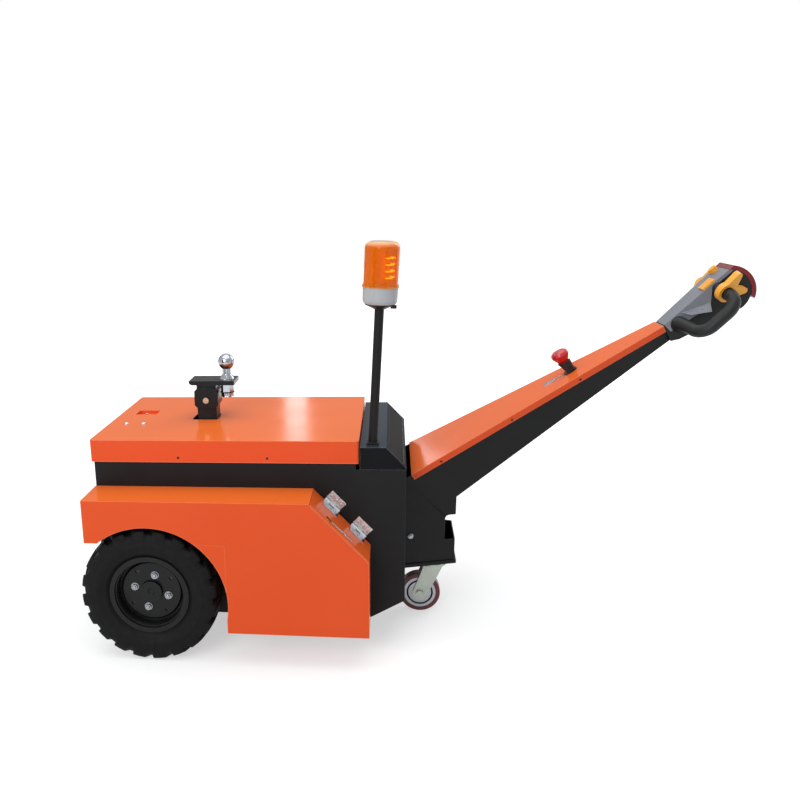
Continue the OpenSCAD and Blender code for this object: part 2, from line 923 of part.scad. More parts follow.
// Flare on the head's left side with a slot in it, clear of the base below the seam
module head_wing() {
    side = head_base_w / 2;
    lip = side + 33;
    slot = [30, 22, 8];
    // columns: up the head, out, above the face
    points = [
        [52, 2 - side, -1], [125, -side - 6, -34], [62, -lip, -18], [106, -lip, -50],
        [62, 2 - side, -25], [108, -side - 6, -58]
    ];
    faces = [[0, 3, 2], [0, 1, 3], [4, 3, 5], [4, 2, 3], [0, 2, 4], [1, 5, 3], [0, 5, 1], [0, 4, 5]];
    difference() {
        polyhedron(points, faces);
        translate([88, slot[1] / 4 + 1 - lip, -22]) rotate([0, head_tilt, 0]) cube(slot, center = true);
        intersection() {
            across(2 * head_top_w) head_split(false, 0);
            head_sides(seat);
        }
    }
}

module head_shell() {
    color("#8a8c92") on_head() {
        intersection() {
            across(2 * head_top_w) intersection() {
                head_profile(nose_r - belly_t - seat);
                head_split(true, 0);
            }
            head_sides(0);
        }
        head_wing();
        right_side() head_wing();
    }
}

module head_base() {
    color("#1b1c1e") {
        on_head() intersection() {
            across(2 * head_top_w) intersection() {
                head_profile(nose_r - belly_t - seat);
                head_split(false, seat);
            }
            head_sides(0);
        }
        // neck that fills the wedge between arm and head
        across(head_base_w - 2) polygon([
            arm_pt(arm_len + seat, -1), arm_pt(arm_len + seat, -arm_end_depth),
            head_pt(eps, head_low[0]), head_pt(eps, head_seam[0][1] - 2 * seat),
            head_pt(-seat, head_seam[0][1] - 2 * seat), head_pt(-seat, -1)
        ]);
    }
}

// Curved bar across the top end of the head
module belly_button() {
    color("#7a2a30") on_head() across(head_top_w) difference() {
        intersection() {
            translate([nose_s, nose_t]) circle(nose_r);
            polygon([
                [nose_s + 30, 0], [nose_s + nose_r, 0],
                [nose_s + nose_r, head_low[1]], [nose_s + 36, head_low[1]]
            ]);
        }
        translate([nose_s, nose_t]) circle(nose_r - belly_t);
    }
}

// A flat button on the left of the face and a round one near the nose on the right
module head_buttons() {
    flat = [38, 42, 5];
    round_d = 24;
    color("#f0b040") on_head() {
        translate([nose_s - flat[0], -flat[1] - 4, seat]) cube(flat);
        translate([nose_s + 26, 26, seat]) cylinder(d = round_d, h = round_d / 2);
    }
}

// Stations along a flat path, each a place and a heading, with its corners bent to one radius
function left_of(v) = [-v[1], v[0]];
function turned(v, a) = [v[0] * cos(a) - v[1] * sin(a), v[0] * sin(a) + v[1] * cos(a)];
function aim_of(path, i) = (path[i + 1] - path[i]) / norm(path[i + 1] - path[i]);
function turn_at(path, i) = let (a = aim_of(path, i - 1), b = aim_of(path, i)) atan2(left_of(a) * b, a * b);
function corner_stations(path, i, bend, steps) = let (
    aim = aim_of(path, i - 1),
    turn = turn_at(path, i),
    start = path[i] - aim * bend * tan(abs(turn) / 2),
    hub = start + sign(turn) * bend * left_of(aim)
) [for (k = [0:steps]) [hub + turned(start - hub, turn * k / steps), turned(aim, turn * k / steps)]];
function path_stations(path, bend, steps) = let (last = len(path) - 1) concat(
    [[path[0], aim_of(path, 0)]],
    [for (i = [1:last - 1]) each corner_stations(path, i, bend, steps)],
    [[path[last], aim_of(path, last - 1)]]
);

// Round tube through a list of stations
module swept_tube(stations, d, sides) {
    last = len(stations) - 1;
    points = [for (s = stations) for (j = [0:sides - 1]) let (
        a = 360 * j / sides,
        p = s[0] + d / 2 * cos(a) * left_of(s[1])
    ) [p[0], p[1], d / 2 * sin(a)]];
    walls = [for (i = [0:last - 1]) for (j = [0:sides - 1]) let (
        k = (j + 1) % sides
    ) [i * sides + j, (i + 1) * sides + j, (i + 1) * sides + k, i * sides + k]];
    caps = [[for (j = [0:sides - 1]) j], [for (j = [sides - 1:-1:0]) last * sides + j]];
    polyhedron(points, concat(walls, caps), convexity = 6);
}

// Places a shape in the left grip's drooping plane: x up the head, -y out from its side
module on_grip() {
    half = (head_base_w + (head_top_w - head_base_w) * grip_top[0] / (nose_s + nose_r)) / 2;
    on_head() translate([0, -half, grip_top[1]]) rotate([grip_droop, 0, 0]) children();
}

// Grip loop, cut where it meets the head's side
module grip_left() {
    // the tube's ends run this far into the head before its side cuts them
    sink = grip_d;
    route = [
        [grip_top[0], sink], [grip_top[0], -grip_reach],
        [grip_root + grip_rake, -grip_reach], [grip_root, sink]
    ];
    color("#202122") difference() {
        on_grip() swept_tube(path_stations(route, grip_bend, 7), grip_d, 16);
        on_head() head_sides(seat);
    }
}

module grip_right() {
    right_side() grip_left();
}

// Thumb throttle: a hub round the grip with two horns
module throttle_left() {
    hub_r = grip_d / 2 + 9;
    width = 18;
    tip_r = 8;
    // columns: turn, length
    horns = [[20, 52], [-44, 52]];
    color("#f0a832") on_grip() translate([grip_top[0], -throttle_out, 0]) rotate([90, 0, 0])
        linear_extrude(width) difference() {
            union() {
                circle(hub_r);
                for (h = horns) rotate(h[0]) hull() {
                    circle(hub_r - 6, $fn = 32);
                    translate([h[1], 0]) circle(tip_r, $fn = 32);
                }
            }
            circle(d = grip_d + 2 * run_gap);
        }
}

module throttle_right() {
    right_side() throttle_left();
}

// Places a shape at the left drive wheel: z points out of the tractor's side
module at_left_wheel() {
    translate([axle_x, -wheel_y, axle_z]) rotate([90, 0, 0]) children();
}

// Dished rim: hub with a blind bore, disc with a step, barrel and two flanges
module rim_left() {
    half = rim_w / 2;
    seat_r = rim_d / 2;
    lip = 4;
    barrel_r = seat_r - 9;
    step_r = barrel_r - 10;
    boss_r = hub_d / 2;
    bore_r = spindle_d / 2 + run_gap;
    back = disc_z - disc_t;
    color("#2a2b2d") at_left_wheel() difference() {
        rotate_extrude() polygon([
            [bore_r, -half], [boss_r, -half], [boss_r, back], [step_r, back],
            [step_r + disc_step, back - disc_step], [barrel_r, back - disc_step],
            [barrel_r, -half - lip], [seat_r + flange_h, -half - lip],
            [seat_r + flange_h, -half], [seat_r, -half], [seat_r, half], [seat_r + flange_h, half],
            [seat_r + flange_h, half + lip], [seat_r - 1, half + lip],
            [seat_r - 3, half - lip], [barrel_r + lip, half - lip], [barrel_r, half - 3 * lip],
            [barrel_r, disc_z - disc_step], [step_r + disc_step, disc_z - disc_step], [step_r, disc_z],
            [boss_r + 2, disc_z], [boss_r, disc_z + boss_h], [boss_r / 3, disc_z + boss_h],
            [boss_r / 4, disc_z + boss_h - 3], [0, disc_z + boss_h - 3],
            [0, spindle_z + run_gap], [bore_r, spindle_z + run_gap]
        ]);
        for (k = [0:hand_holes[0] - 1]) rotate(hand_holes[3] + 360 * k / hand_holes[0])
            translate([hand_holes[1], 0, back - eps]) cylinder(d = hand_holes[2], h = disc_t + 2 * eps);
    }
}

module rim_right() {
    right_side() rim_left();
}

// Half of the tyre's section from bead to rib. Columns: out from the middle, radius on a lug,
// radius between lugs, turn ahead of the shoulder
function tyre_half() = let (
    bead = rim_w / 2 - run_gap,
    r0 = (rim_d / 2 + run_gap) / cos((360 / lugs * lug_share - lug_flank) / 2),
    r1 = tyre_d / 2,
    low = r1 - lug_h,
    half = tyre_w / 2
) [
    [bead, r0, r0, 0],
    [bead, r0 + flange_h + 3, r0 + flange_h + 3, 0],
    [half, r1 - wall_depth, r1 - wall_depth, 0],
    [half - 3, r1 - wall_depth / 2, r1 - wall_depth / 2 - 3, 0],
    [half - shoulder, r1 - 4, low - 4, 0],
    [rib_half + 4, r1, low, lug_lead],
    [rib_half, r1, r1, lug_lead]
];

// Stations round the tyre: the turn of each, and 1 where it is on a lug
function lug_stations() = let (pitch = 360 / lugs) [
    for (k = [0:lugs - 1]) for (s = [[0, 1], [lug_share, 1], [lug_share, 0], [1, 0]])
        [pitch * (k + s[0]) + lug_flank * (s[0] == lug_share ? 0.5 - s[1] : s[1] - 0.5), s[1]]
];

// Tyre with chevron lugs on both sides of a centre rib
module tyre_left() {
    side = tyre_half();
    rows = len(side);
    section = concat(
        [for (p = side) [-p[0], p[1], p[2], p[3]]],
        [for (k = [rows - 1:-1:0]) side[k]]
    );
    ring = lug_stations();
    m = len(section);
    n = len(ring);
    points = [for (s = ring) for (p = section) let (r = s[1] == 1 ? p[1] : p[2], a = s[0] + p[3])
        [r * cos(a), r * sin(a), p[0]]];
    faces = [for (i = [0:n - 1]) for (j = [0:m - 1]) let (i2 = (i + 1) % n, j2 = (j + 1) % m)
        each [[i * m + j, i2 * m + j, i2 * m + j2], [i * m + j, i2 * m + j2, i * m + j2]]];
    color("#232323") at_left_wheel() polyhedron(points, faces, convexity = 8);
}

module tyre_right() {
    right_side() tyre_left();
}

// Caster top plate with its fixed swivel race and kingpin
module caster_plate() {
    color("#c3c7ca") translate([x_swivel, 0, base_z - seat - caster_top[2]]) {
        translate([-caster_top[0] / 2, -caster_top[1] / 2, 0]) cube(caster_top);
        translate([0, 0, -race[1]]) cylinder(d = race[0], h = race[1] + eps);
        translate([0, 0, -race[1] - kingpin]) cylinder(r = swivel_pin_r, h = kingpin + eps);
    }
}

module caster_fork() {
    crown_z = base_z - seat - caster_top[2] - race[1] - run_gap;
    crown_h = 8;
    eye_r = 22;
    foot = 54;
    nut_h = 7;
    color("#c3c7ca") {
        translate([x_swivel, 0, crown_z - crown_h]) difference() {
            cylinder(d = race[0] + 6, h = crown_h);
            translate([0, 0, -eps]) cylinder(r = swivel_pin_r + run_gap, h = crown_h + 2 * eps);
        }
        for (side = [-1, 1]) translate([0, side * (fork_y + fork_t / 2), 0]) across(fork_t) hull() {
            translate([x_caster, caster_z]) circle(eye_r, $fn = 32);
            translate([x_swivel - foot / 2, crown_z - crown_h - 3]) square([foot, 3 + crown_h / 2]);
        }
        translate([x_caster, 0, caster_z]) rotate([90, 0, 0]) {
            cylinder(d = caster_pin_d, h = 2 * (fork_y + fork_t + nut_h), center = true);
            for (end = [-1, 1]) translate([0, 0, end * (fork_y + fork_t + nut_h / 2)])
                cylinder(d = 2 * caster_pin_d, h = nut_h, center = true);
        }
    }
}

module caster_core() {
    r = caster_d / 2 - tread_t;
    half = caster_w / 2;
    pin = caster_pin_d / 2 + run_gap;
    cap_r = r - 14;
    // one side from the axle out: radius, distance from the wheel's middle
    side = [
        [pin, half + 3], [pin + 9, half + 3], [pin + 11, half], [cap_r, half - 2],
        [cap_r + 1, half - 8], [cap_r + 4, half - 8], [cap_r + 5, half - 1], [r, half - 1]
    ];
    color("#9a9da0") translate([x_caster, 0, caster_z]) rotate([90, 0, 0]) rotate_extrude() polygon(concat(
        [for (p = side) [p[0], -p[1]]],
        [for (k = [len(side) - 1:-1:0]) side[k]]
    ));
}

module caster_tread() {
    r0 = caster_d / 2 - tread_t + run_gap;
    r1 = caster_d / 2;
    half = caster_w / 2;
    crown = 3;
    color("#7d1f2c") translate([x_caster, 0, caster_z]) rotate([90, 0, 0]) rotate_extrude() polygon([
        [r0, -half], [r1, crown - half], [r1, half - crown], [r0, half]
    ]);
}

chassis_shell();
battery_block();
drive_unit();
top_cover();
console();
fender_left();
fender_right();
hinge_fixed_left();
hinge_fixed_right();
flap_left();
flap_right();
hinge_moving_left();
hinge_moving_right();
hitch_post();
hitch_sleeve();
ball_plate();
hitch_bolt();
tow_ball();
beacon_pole();
beacon_bracket();
beacon_base();
beacon_core();
beacon_lens();
arm_frame();
arm_cover();
base_plate();
switch_body();
switch_knob();
switch_tether();
head_shell();
head_base();
belly_button();
head_buttons();
grip_left();
grip_right();
throttle_left();
throttle_right();
rim_left();
rim_right();
tyre_left();
tyre_right();
caster_plate();
caster_fork();
caster_core();
caster_tread();
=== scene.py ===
# %% [markdown]
# # Electric tow tractor
# The solids of this tractor come ready made, each in its place. This lesson gives them their look: paint,
# plating, rubber and moulded plastic, soft edges, and the small things that a maker bolts on last.
# Everything is in metres, +X runs from the tow ball to the tiller and the floor is z = 0.

# %% Load the solids
import json
import math
import bpy
from mathutils import Matrix, Vector


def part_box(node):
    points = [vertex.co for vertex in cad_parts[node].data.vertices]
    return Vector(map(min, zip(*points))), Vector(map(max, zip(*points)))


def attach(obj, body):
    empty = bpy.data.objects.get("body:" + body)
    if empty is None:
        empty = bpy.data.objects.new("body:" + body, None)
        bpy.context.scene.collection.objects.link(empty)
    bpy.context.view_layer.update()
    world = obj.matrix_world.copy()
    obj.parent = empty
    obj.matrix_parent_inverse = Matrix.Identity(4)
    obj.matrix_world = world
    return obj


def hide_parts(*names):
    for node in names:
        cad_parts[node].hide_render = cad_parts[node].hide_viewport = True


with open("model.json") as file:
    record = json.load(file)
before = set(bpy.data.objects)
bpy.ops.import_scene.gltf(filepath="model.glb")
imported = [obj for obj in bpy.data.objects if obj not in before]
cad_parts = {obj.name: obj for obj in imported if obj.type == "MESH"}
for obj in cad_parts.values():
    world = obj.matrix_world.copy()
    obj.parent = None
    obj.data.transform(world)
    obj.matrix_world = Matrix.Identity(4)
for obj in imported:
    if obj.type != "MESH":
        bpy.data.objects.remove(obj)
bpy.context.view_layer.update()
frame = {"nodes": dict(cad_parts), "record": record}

# %% [markdown]
# ## Camera
# The photograph was taken from the tractor's left, a little above it and turned slightly. The camera could
# be placed by eye, but its place, turn and focal length were worked out from edges of known length instead,
# so that sizes read off the render can be trusted. The picture was cropped off centre, and the lens shift
# stands for that crop.

# %% Camera at the photograph's angle
PHOTO_PX = 800
FOCAL_PX = 888.1
SENSOR = 36.0
CAMERA_AT = (-0.0439, -2.6289, 1.272)
CAMERA_TURN = (0.146, 0.035, -0.258)
CROP_SHIFT = (0.1776, 0.0423)

scene = bpy.context.scene
lens = bpy.data.cameras.new("photo_camera")
lens.sensor_width = SENSOR
lens.lens = FOCAL_PX / PHOTO_PX * SENSOR
lens.shift_x, lens.shift_y = CROP_SHIFT
camera = bpy.data.objects.new("photo_camera", lens)
pan, roll, tilt = (Matrix.Rotation(a, 4, axis) for a, axis in zip(CAMERA_TURN, "ZYX"))
level = Matrix.Rotation(math.pi / 2, 4, "X")
camera.matrix_world = Matrix.Translation(CAMERA_AT) @ pan @ roll @ tilt @ level
scene.collection.objects.link(camera)
scene.camera = camera
scene.view_settings.view_transform = "Standard"
print("camera lens:", round(lens.lens, 2), "mm")

# %% [markdown]
# ## Two small tools for finishes
# A colour is written as a web colour, as a paint chart gives it. Blender calculates with linear light, so
# one function turns one into the other. The second function adds a node to a shader: settings by name, and
# for each input, by name or by number, either a value or the output that feeds it.

# %% Colour and node helpers
def linear(code):
    """An sRGB hex colour as linear red, green, blue and alpha."""
    parts = [int(code[k:k + 2], 16) / 255 for k in (1, 3, 5)]
    return [p / 12.92 if p <= 0.04045 else ((p + 0.055) / 1.055) ** 2.4 for p in parts] + [1.0]


def add(tree, kind, inputs=None, **settings):
    """Add one node with its settings, and set or link its inputs."""
    node = tree.nodes.new(kind)
    for name, value in settings.items():
        setattr(node, name, value)
    for name, value in (inputs or {}).items():
        if isinstance(value, bpy.types.NodeSocket):
            tree.links.new(value, node.inputs[name])
        else:
            node.inputs[name].default_value = value
    return node


WHITE = linear("#FFFFFF")
print("mid grey in linear light:", [round(c, 3) for c in linear("#808080")])

# %% [markdown]
# ## White studio
# A studio shot of a machine stands in a white room. A strong white world would do that, and it would also
# wash out the paint. So the world has two strengths: what the camera, mirrors and glass see is plain white,
# and what falls on the tractor as light is weaker and slightly blue.

# %% World
AMBIENT = 0.52


def seen_rays(tree):
    """One for a ray from the camera, a mirror or glass, and zero for a ray that only brings light."""
    path = add(tree, "ShaderNodeLightPath")
    outer = add(tree, "ShaderNodeMath", {0: path.outputs["Is Camera Ray"], 1: path.outputs["Is Glossy Ray"]},
                operation="MAXIMUM")
    both = add(tree, "ShaderNodeMath", {0: outer.outputs[0], 1: path.outputs["Is Transmission Ray"]},
               operation="MAXIMUM")
    return both.outputs[0]


world = bpy.data.worlds.new("studio")
scene.world = world
world.use_nodes = True
sky = world.node_tree
sky.nodes.clear()
ambient = add(sky, "ShaderNodeBackground", {"Color": linear("#EEF2F6"), "Strength": AMBIENT})
white = add(sky, "ShaderNodeBackground", {"Color": WHITE, "Strength": 1.0})
either = add(sky, "ShaderNodeMixShader", {0: seen_rays(sky), 1: ambient.outputs[0], 2: white.outputs[0]})
add(sky, "ShaderNodeOutputWorld", {"Surface": either.outputs[0]})
print("world strength as light:", AMBIENT)

# %% [markdown]
# ## Floor
# The machine stands on a sweep of white paper. The floor is a real plane, so that the tyres have a soft
# shadow under them. Paper that is only lit would look grey beside the white world, so it also glows towards
# white, more so further out, where no shadow falls.

# %% Paper sweep
REACH = 14.0
FADE_FROM, FADE_TO = 1.0, 3.2
GLOW_NEAR, GLOW_FAR = 0.52, 0.98


def blank(name):
    """A new material with an empty node tree."""
    material = bpy.data.materials.new(name)
    material.use_nodes = True
    material.node_tree.nodes.clear()
    return material


def sheet(name, width, height, material):
    """A flat rectangle for the studio."""
    w, h = width / 2, height / 2
    mesh = bpy.data.meshes.new(name)
    mesh.from_pydata([(-w, -h, 0), (w, -h, 0), (w, h, 0), (-w, h, 0)], [], [(0, 1, 2, 3)])
    mesh.materials.append(material)
    plane = bpy.data.objects.new(name, mesh)
    scene.collection.objects.link(plane)
    return plane


sweep = blank("white_paper_sweep")
paper = sweep.node_tree
place = add(paper, "ShaderNodeTexCoord").outputs["Object"]
away = add(paper, "ShaderNodeVectorMath", {0: place}, operation="LENGTH")
fade = add(paper, "ShaderNodeMapRange",
           {0: away.outputs["Value"], 1: FADE_FROM, 2: FADE_TO, 3: GLOW_NEAR, 4: GLOW_FAR},
           interpolation_type="SMOOTHSTEP")
glow = add(paper, "ShaderNodeMath", {0: seen_rays(paper), 1: fade.outputs[0]}, operation="MULTIPLY")
matt = add(paper, "ShaderNodeBsdfDiffuse", {"Color": linear("#C8C8C8")})
lit = add(paper, "ShaderNodeEmission", {"Color": WHITE, "Strength": glow.outputs[0]})
total = add(paper, "ShaderNodeAddShader", {0: matt.outputs[0], 1: lit.outputs[0]})
add(paper, "ShaderNodeOutputMaterial", {"Surface": total.outputs[0]})
floor = sheet("studio_floor", 2 * REACH, 2 * REACH, sweep)
print("floor:", 2 * REACH, "m wide")

# %% [markdown]
# ## Softboxes
# Large soft lamps give broad highlights and no hard shadows. One hangs over the machine, one stands beside
# the camera and one behind. Their watts stay at the level at which a paint looks like its paint chart, so
# that the finishes also look right under other light.

# %% Softboxes
# name, place, aimed at, size, watts
SOFTBOXES = [
    ("top_softbox", (-0.4, -0.4, 4.2), (0.0, 0.0, 0.4), 4.5, 108),
    ("key_softbox", (-2.2, -4.4, 2.6), (-0.2, 0.0, 0.5), 2.8, 115),
    ("rear_softbox", (3.2, 3.4, 3.0), (0.0, 0.0, 0.5), 3.0, 70),
]


def aim(thing, place, target):
    """Put a lamp or a card at a place and turn it to a target."""
    thing.location = place
    thing.rotation_euler = (Vector(target) - Vector(place)).to_track_quat("-Z", "Y").to_euler()


for name, place, target, size, watts in SOFTBOXES:
    lamp = bpy.data.lights.new(name, "AREA")
    lamp.shape = "SQUARE"
    lamp.size = size
    lamp.energy = watts
    holder = bpy.data.objects.new(name, lamp)
    aim(holder, place, target)
    scene.collection.objects.link(holder)
print("softboxes:", len(SOFTBOXES))

# %% [markdown]
# ## Cards for the mirrors
# A chrome ball in an all white room is a white disc. Photographers stand black cards beside the camera, out
# of the picture, and polished metal then draws dark lines along its form. A narrow strip lamp far behind
# draws one bright streak across the glossy lid, in front of a grey backdrop. Lamps would do this too, but
# they would light the paint as well. These are plain glowing sheets that only mirror rays see.

# %% Black cards, grey backdrop and strip lamp
# name, place, width, height, colour, strength
CARDS = [
    ("card_left", (-2.6, -2.6, 1.1), 1.3, 2.6, "#101012", 1.0),
    ("card_right", (1.9, -3.4, 1.0), 0.7, 2.4, "#101012", 1.0),
    ("card_back", (-3.0, 2.4, 1.2), 1.2, 2.2, "#101012", 1.0),
    ("grey_backdrop", (-0.9, 3.0, 1.35), 3.8, 1.7, "#A8A8AA", 1.0),
    ("strip_lamp", (-0.62, 2.6, 1.4), 0.13, 1.6, "#FFF4F6", 3.0),
]
CARD_TARGET = (-0.3, 0, 0.7)
for name, place, width, height, colour, strength in CARDS:
    shade = blank(name)
    lit = add(shade.node_tree, "ShaderNodeEmission", {"Color": linear(colour), "Strength": strength})
    add(shade.node_tree, "ShaderNodeOutputMaterial", {"Surface": lit.outputs[0]})
    card = sheet(name, width, height, shade)
    aim(card, place, CARD_TARGET)
    for ray in ("camera", "diffuse", "shadow", "transmission", "volume_scatter"):
        setattr(card, "visible_" + ray, False)
print("cards:", len(CARDS))

# %% [markdown]
# ## Finishes
# Each finish starts from one principled shader. Image textures could give it life, but they belong to one
# size and one object. Here three kinds of unevenness come back on most finishes, at sizes of their own: a
# slow drift of tone, a fine relief, and a change of gloss. One function lays these over the base colour,
# from sizes in millimetres. Edges of paint and plastic get a paler line, a painted highlight, which a bevel
# in the shader finds.

# %% One function for an uneven surface
MM = 0.001
# how far the rounded normal has turned from the face, as a cosine: no painted edge highlight, and the full
# one
NO_LINE, FULL_LINE = 0.995, 0.80
# the noise stays near its middle, and this part of it is stretched over the range of gloss
NOISE_LOW, NOISE_HIGH = 0.3, 0.7


def finish(name, base, drift, relief=None, gloss=None, edge=None, **sockets):
    """A material: a base colour that drifts to a second one, then optional unevenness.
    drift: size in mm, second colour. relief: size and height in mm.
    gloss: size in mm, low and high roughness. edge: width in mm, colour of the painted edge highlight."""
    material = bpy.data.materials.new(name)
    material.use_nodes = True
    tree = material.node_tree
    shader = tree.nodes["Principled BSDF"]
    shader.inputs["Base Color"].default_value = linear(base)
    for socket, value in sockets.items():
        shader.inputs[socket.replace("_", " ")].default_value = value
    place = add(tree, "ShaderNodeTexCoord").outputs["Object"]
    size, other = drift
    cloud = add(tree, "ShaderNodeTexNoise", {"Vector": place, "Scale": 1 / (size * MM), "Detail": 3.0})
    tone = add(tree, "ShaderNodeMix", {0: cloud.outputs[0], 6: linear(base), 7: linear(other)},
               data_type="RGBA")
    colour = tone.outputs[2]
    # the paler edge line is a painted highlight, laid where the bevelled normal turns away from the face
    if edge:
        width, other = edge
        soft = add(tree, "ShaderNodeBevel", {"Radius": width * MM}, samples=4)
        flat = add(tree, "ShaderNodeNewGeometry")
        turn = add(tree, "ShaderNodeVectorMath", {0: soft.outputs[0], 1: flat.outputs["Normal"]},
                   operation="DOT_PRODUCT")
        line = add(tree, "ShaderNodeMapRange", {0: turn.outputs["Value"], 1: NO_LINE, 2: FULL_LINE})
        edge_highlight = add(tree, "ShaderNodeMix", {0: line.outputs[0], 6: colour, 7: linear(other)},
                   data_type="RGBA")
        colour = edge_highlight.outputs[2]
    tree.links.new(colour, shader.inputs["Base Color"])
    if gloss:
        size, low, high = gloss
        patch = add(tree, "ShaderNodeTexNoise", {"Vector": place, "Scale": 1 / (size * MM), "Detail": 4.0})
        rough = add(tree, "ShaderNodeMapRange",
                    {0: patch.outputs[0], 1: NOISE_LOW, 2: NOISE_HIGH, 3: low, 4: high})
        tree.links.new(rough.outputs[0], shader.inputs["Roughness"])
    if relief:
        size, height = relief
        grain = add(tree, "ShaderNodeTexNoise", {"Vector": place, "Scale": 1 / (size * MM), "Detail": 2.0})
        bump = add(tree, "ShaderNodeBump",
                   {"Height": grain.outputs[0], "Distance": height * MM, "Strength": 1.0})
        tree.links.new(bump.outputs[0], shader.inputs["Normal"])
    return material


print("uneven surface ready, in units of", MM, "m")

# %% [markdown]
# Some finishes change with the slope of a face: level faces get light from above painted into their colour,
# and a polished top ends where the panel folds down. A second material on those faces would need a cut in
# the mesh. The height of the piece's own normal tells level faces from upright ones without any cut, and it
# stays with a flap that turns.

# %% Finishes that follow the slope
def by_slope(tree, start, full, low=0.0, high=1.0):
    """A value that runs from low to high as a face turns up, between two heights of its normal."""
    normal = add(tree, "ShaderNodeTexCoord").outputs["Normal"]
    height = add(tree, "ShaderNodeSeparateXYZ", {0: normal})
    share = add(tree, "ShaderNodeMapRange", {0: height.outputs["Z"], 1: start, 2: full, 3: low, 4: high})
    return share.outputs[0]


def paint_light_on_level_faces(material, other, start, full):
    """Turn the base colour to another one on faces that look up: light from above, painted into the colour.
    """
    tree = material.node_tree
    base = tree.nodes["Principled BSDF"].inputs["Base Color"]
    mixed = add(tree, "ShaderNodeMix",
                {0: by_slope(tree, start, full), 6: base.links[0].from_socket, 7: linear(other)},
                data_type="RGBA")
    tree.links.new(mixed.outputs[2], base)


looks = {}
print("slope helpers ready")

# %% [markdown]
# ### Paint on steel
# The sheet metal is powder coated: a dry powder is melted to one thick, slightly wavy skin. The console,
# the hitch and the rims have a smooth sprayed enamel. A flat colour would look like paper, so each coat has
# its waves, its patches of gloss and a painted highlight along its folds.

# %% Orange powder coat
# A glossy coat with a faint orange peel: broad soft streaks of light, and a painted highlight along
# each fold.
# The peel's waves of about 2 mm are drawn at 7 mm so that they show.
looks["orange_paint"] = finish(
    "powder_coat_orange", "#E55524", drift=(260, "#DF4F1F"), relief=(7, 0.012), gloss=(120, 0.13, 0.2),
    edge=(3.0, "#F8A078"), Specular_IOR_Level=0.16)
# level faces are painted a yellower orange, a painted sheen of the light from above
paint_light_on_level_faces(looks["orange_paint"], "#E96D2A", 0.3, 1.0)
print("orange coat:", looks["orange_paint"].name)

# %% Black powder coat and enamels
# A satin coat with a fine grit: the big plates stay dark and mirror nothing, and a painted highlight runs
# along the edges. Its grit of about 0.5 mm is drawn at 3 mm so that it shows.
looks["chassis_paint"] = finish(
    "powder_coat_black", "#161617", drift=(180, "#131314"), relief=(3, 0.03), gloss=(60, 0.42, 0.54),
    edge=(2.5, "#3A3B3E"), Specular_IOR_Level=0.16)
# Enamel with a painted pale highlight on its edges: the polished level top mirrors the sky, and it is also
# painted a bluish grey, a painted reflection of the sky. The slope behind it stays dark.
LEVEL_TOP = (0.95, 0.995)
SLOPE_ROUGH, TOP_ROUGH = 0.66, 0.1
looks["console_gloss"] = finish(
    "enamel_black_console", "#141517", drift=(90, "#191A1C"), edge=(2.0, "#8E949A"), Specular_IOR_Level=0.06)
paint_light_on_level_faces(looks["console_gloss"], "#2C363E", *LEVEL_TOP)
console = looks["console_gloss"].node_tree
satin = by_slope(console, *LEVEL_TOP, SLOPE_ROUGH, TOP_ROUGH)
console.links.new(satin, console.nodes["Principled BSDF"].inputs["Roughness"])
# Enamel over rough welded steel: wavy highlights, and a painted grey highlight on its edges.
looks["hitch_gloss"] = finish(
    "enamel_black_hitch", "#111112", drift=(60, "#181616"), relief=(9, 0.03), gloss=(40, 0.2, 0.32),
    edge=(1.0, "#3E4044"), Specular_IOR_Level=0.16)
# Sprayed enamel: a soft sheen that draws the dish of the rim, and a painted highlight on its edges. Its fine
# spray grain is drawn at 4 mm to show.
looks["rim_black"] = finish(
    "enamel_black_rim", "#111112", drift=(80, "#161617"), relief=(4, 0.02), gloss=(50, 0.24, 0.36),
    edge=(2.0, "#303134"), Specular_IOR_Level=0.22)
print("paints:", len(looks))

# %% [markdown]
# ### Bare and plated metal
# The hinges are brushed stainless sheet, the ball is chrome plated, and the caster's fork is zinc plated
# and then passivated. A metal has no colour under its shine, so its look is all in how sharply it mirrors.
# Plating that has dulled is a little less than fully metallic. All of them keep the default IOR.

# %% Metals
# Brushed sheet: bright, with mirrors that blur. Scratches of about 0.1 mm are drawn at 1.6 mm to show.
looks["stainless"] = finish(
    "stainless_brushed", "#D6D8DC", drift=(8, "#C2C5CA"), relief=(1.6, 0.02), gloss=(10, 0.16, 0.3),
    Metallic=1.0)
# Polished plate: a nearly clean mirror, with dark lines where the cards stand.
looks["chrome"] = finish(
    "chrome_plate", "#A4A8AE", drift=(30, "#969AA0"), gloss=(25, 0.05, 0.11), Metallic=1.0)
# Clear passivate: pale grey with a faint green cast in patches, and a blurred shine.
looks["zinc"] = finish(
    "zinc_passivated", "#B4B8AE", drift=(22, "#9FA8A2"), relief=(5, 0.03), gloss=(16, 0.34, 0.5),
    Metallic=0.85)
# Die-cast aluminium: grainy pale grey. Its grain of about 0.5 mm is drawn at 2.5 mm to show.
looks["caster_core"] = finish(
    "aluminium_cast", "#B2B4B8", drift=(14, "#9EA1A6"), relief=(2.5, 0.04), gloss=(12, 0.3, 0.46),
    Metallic=0.8)
# Sand-cast iron under thin paint: dull and pitted. The pits of 1 to 2 mm are drawn at 4 mm to show.
looks["cast_drive"] = finish(
    "cast_iron_painted", "#45484B", drift=(30, "#3A3C3F"), relief=(4, 0.25), gloss=(20, 0.5, 0.7))
# Yellow passivate: a warm, dull shine on the hitch's cross bolt.
zinc_yellow = finish(
    "zinc_yellow_passivated", "#B8AA98", drift=(6, "#A5957E"), gloss=(5, 0.3, 0.45), Metallic=0.75)
# Plating gone dull: grey nuts with small bright facets.
zinc_dark = finish(
    "zinc_plate_dull", "#A6A9AE", drift=(5, "#8C9096"), gloss=(6, 0.24, 0.42), Metallic=0.9)
print("finishes so far:", len(looks))
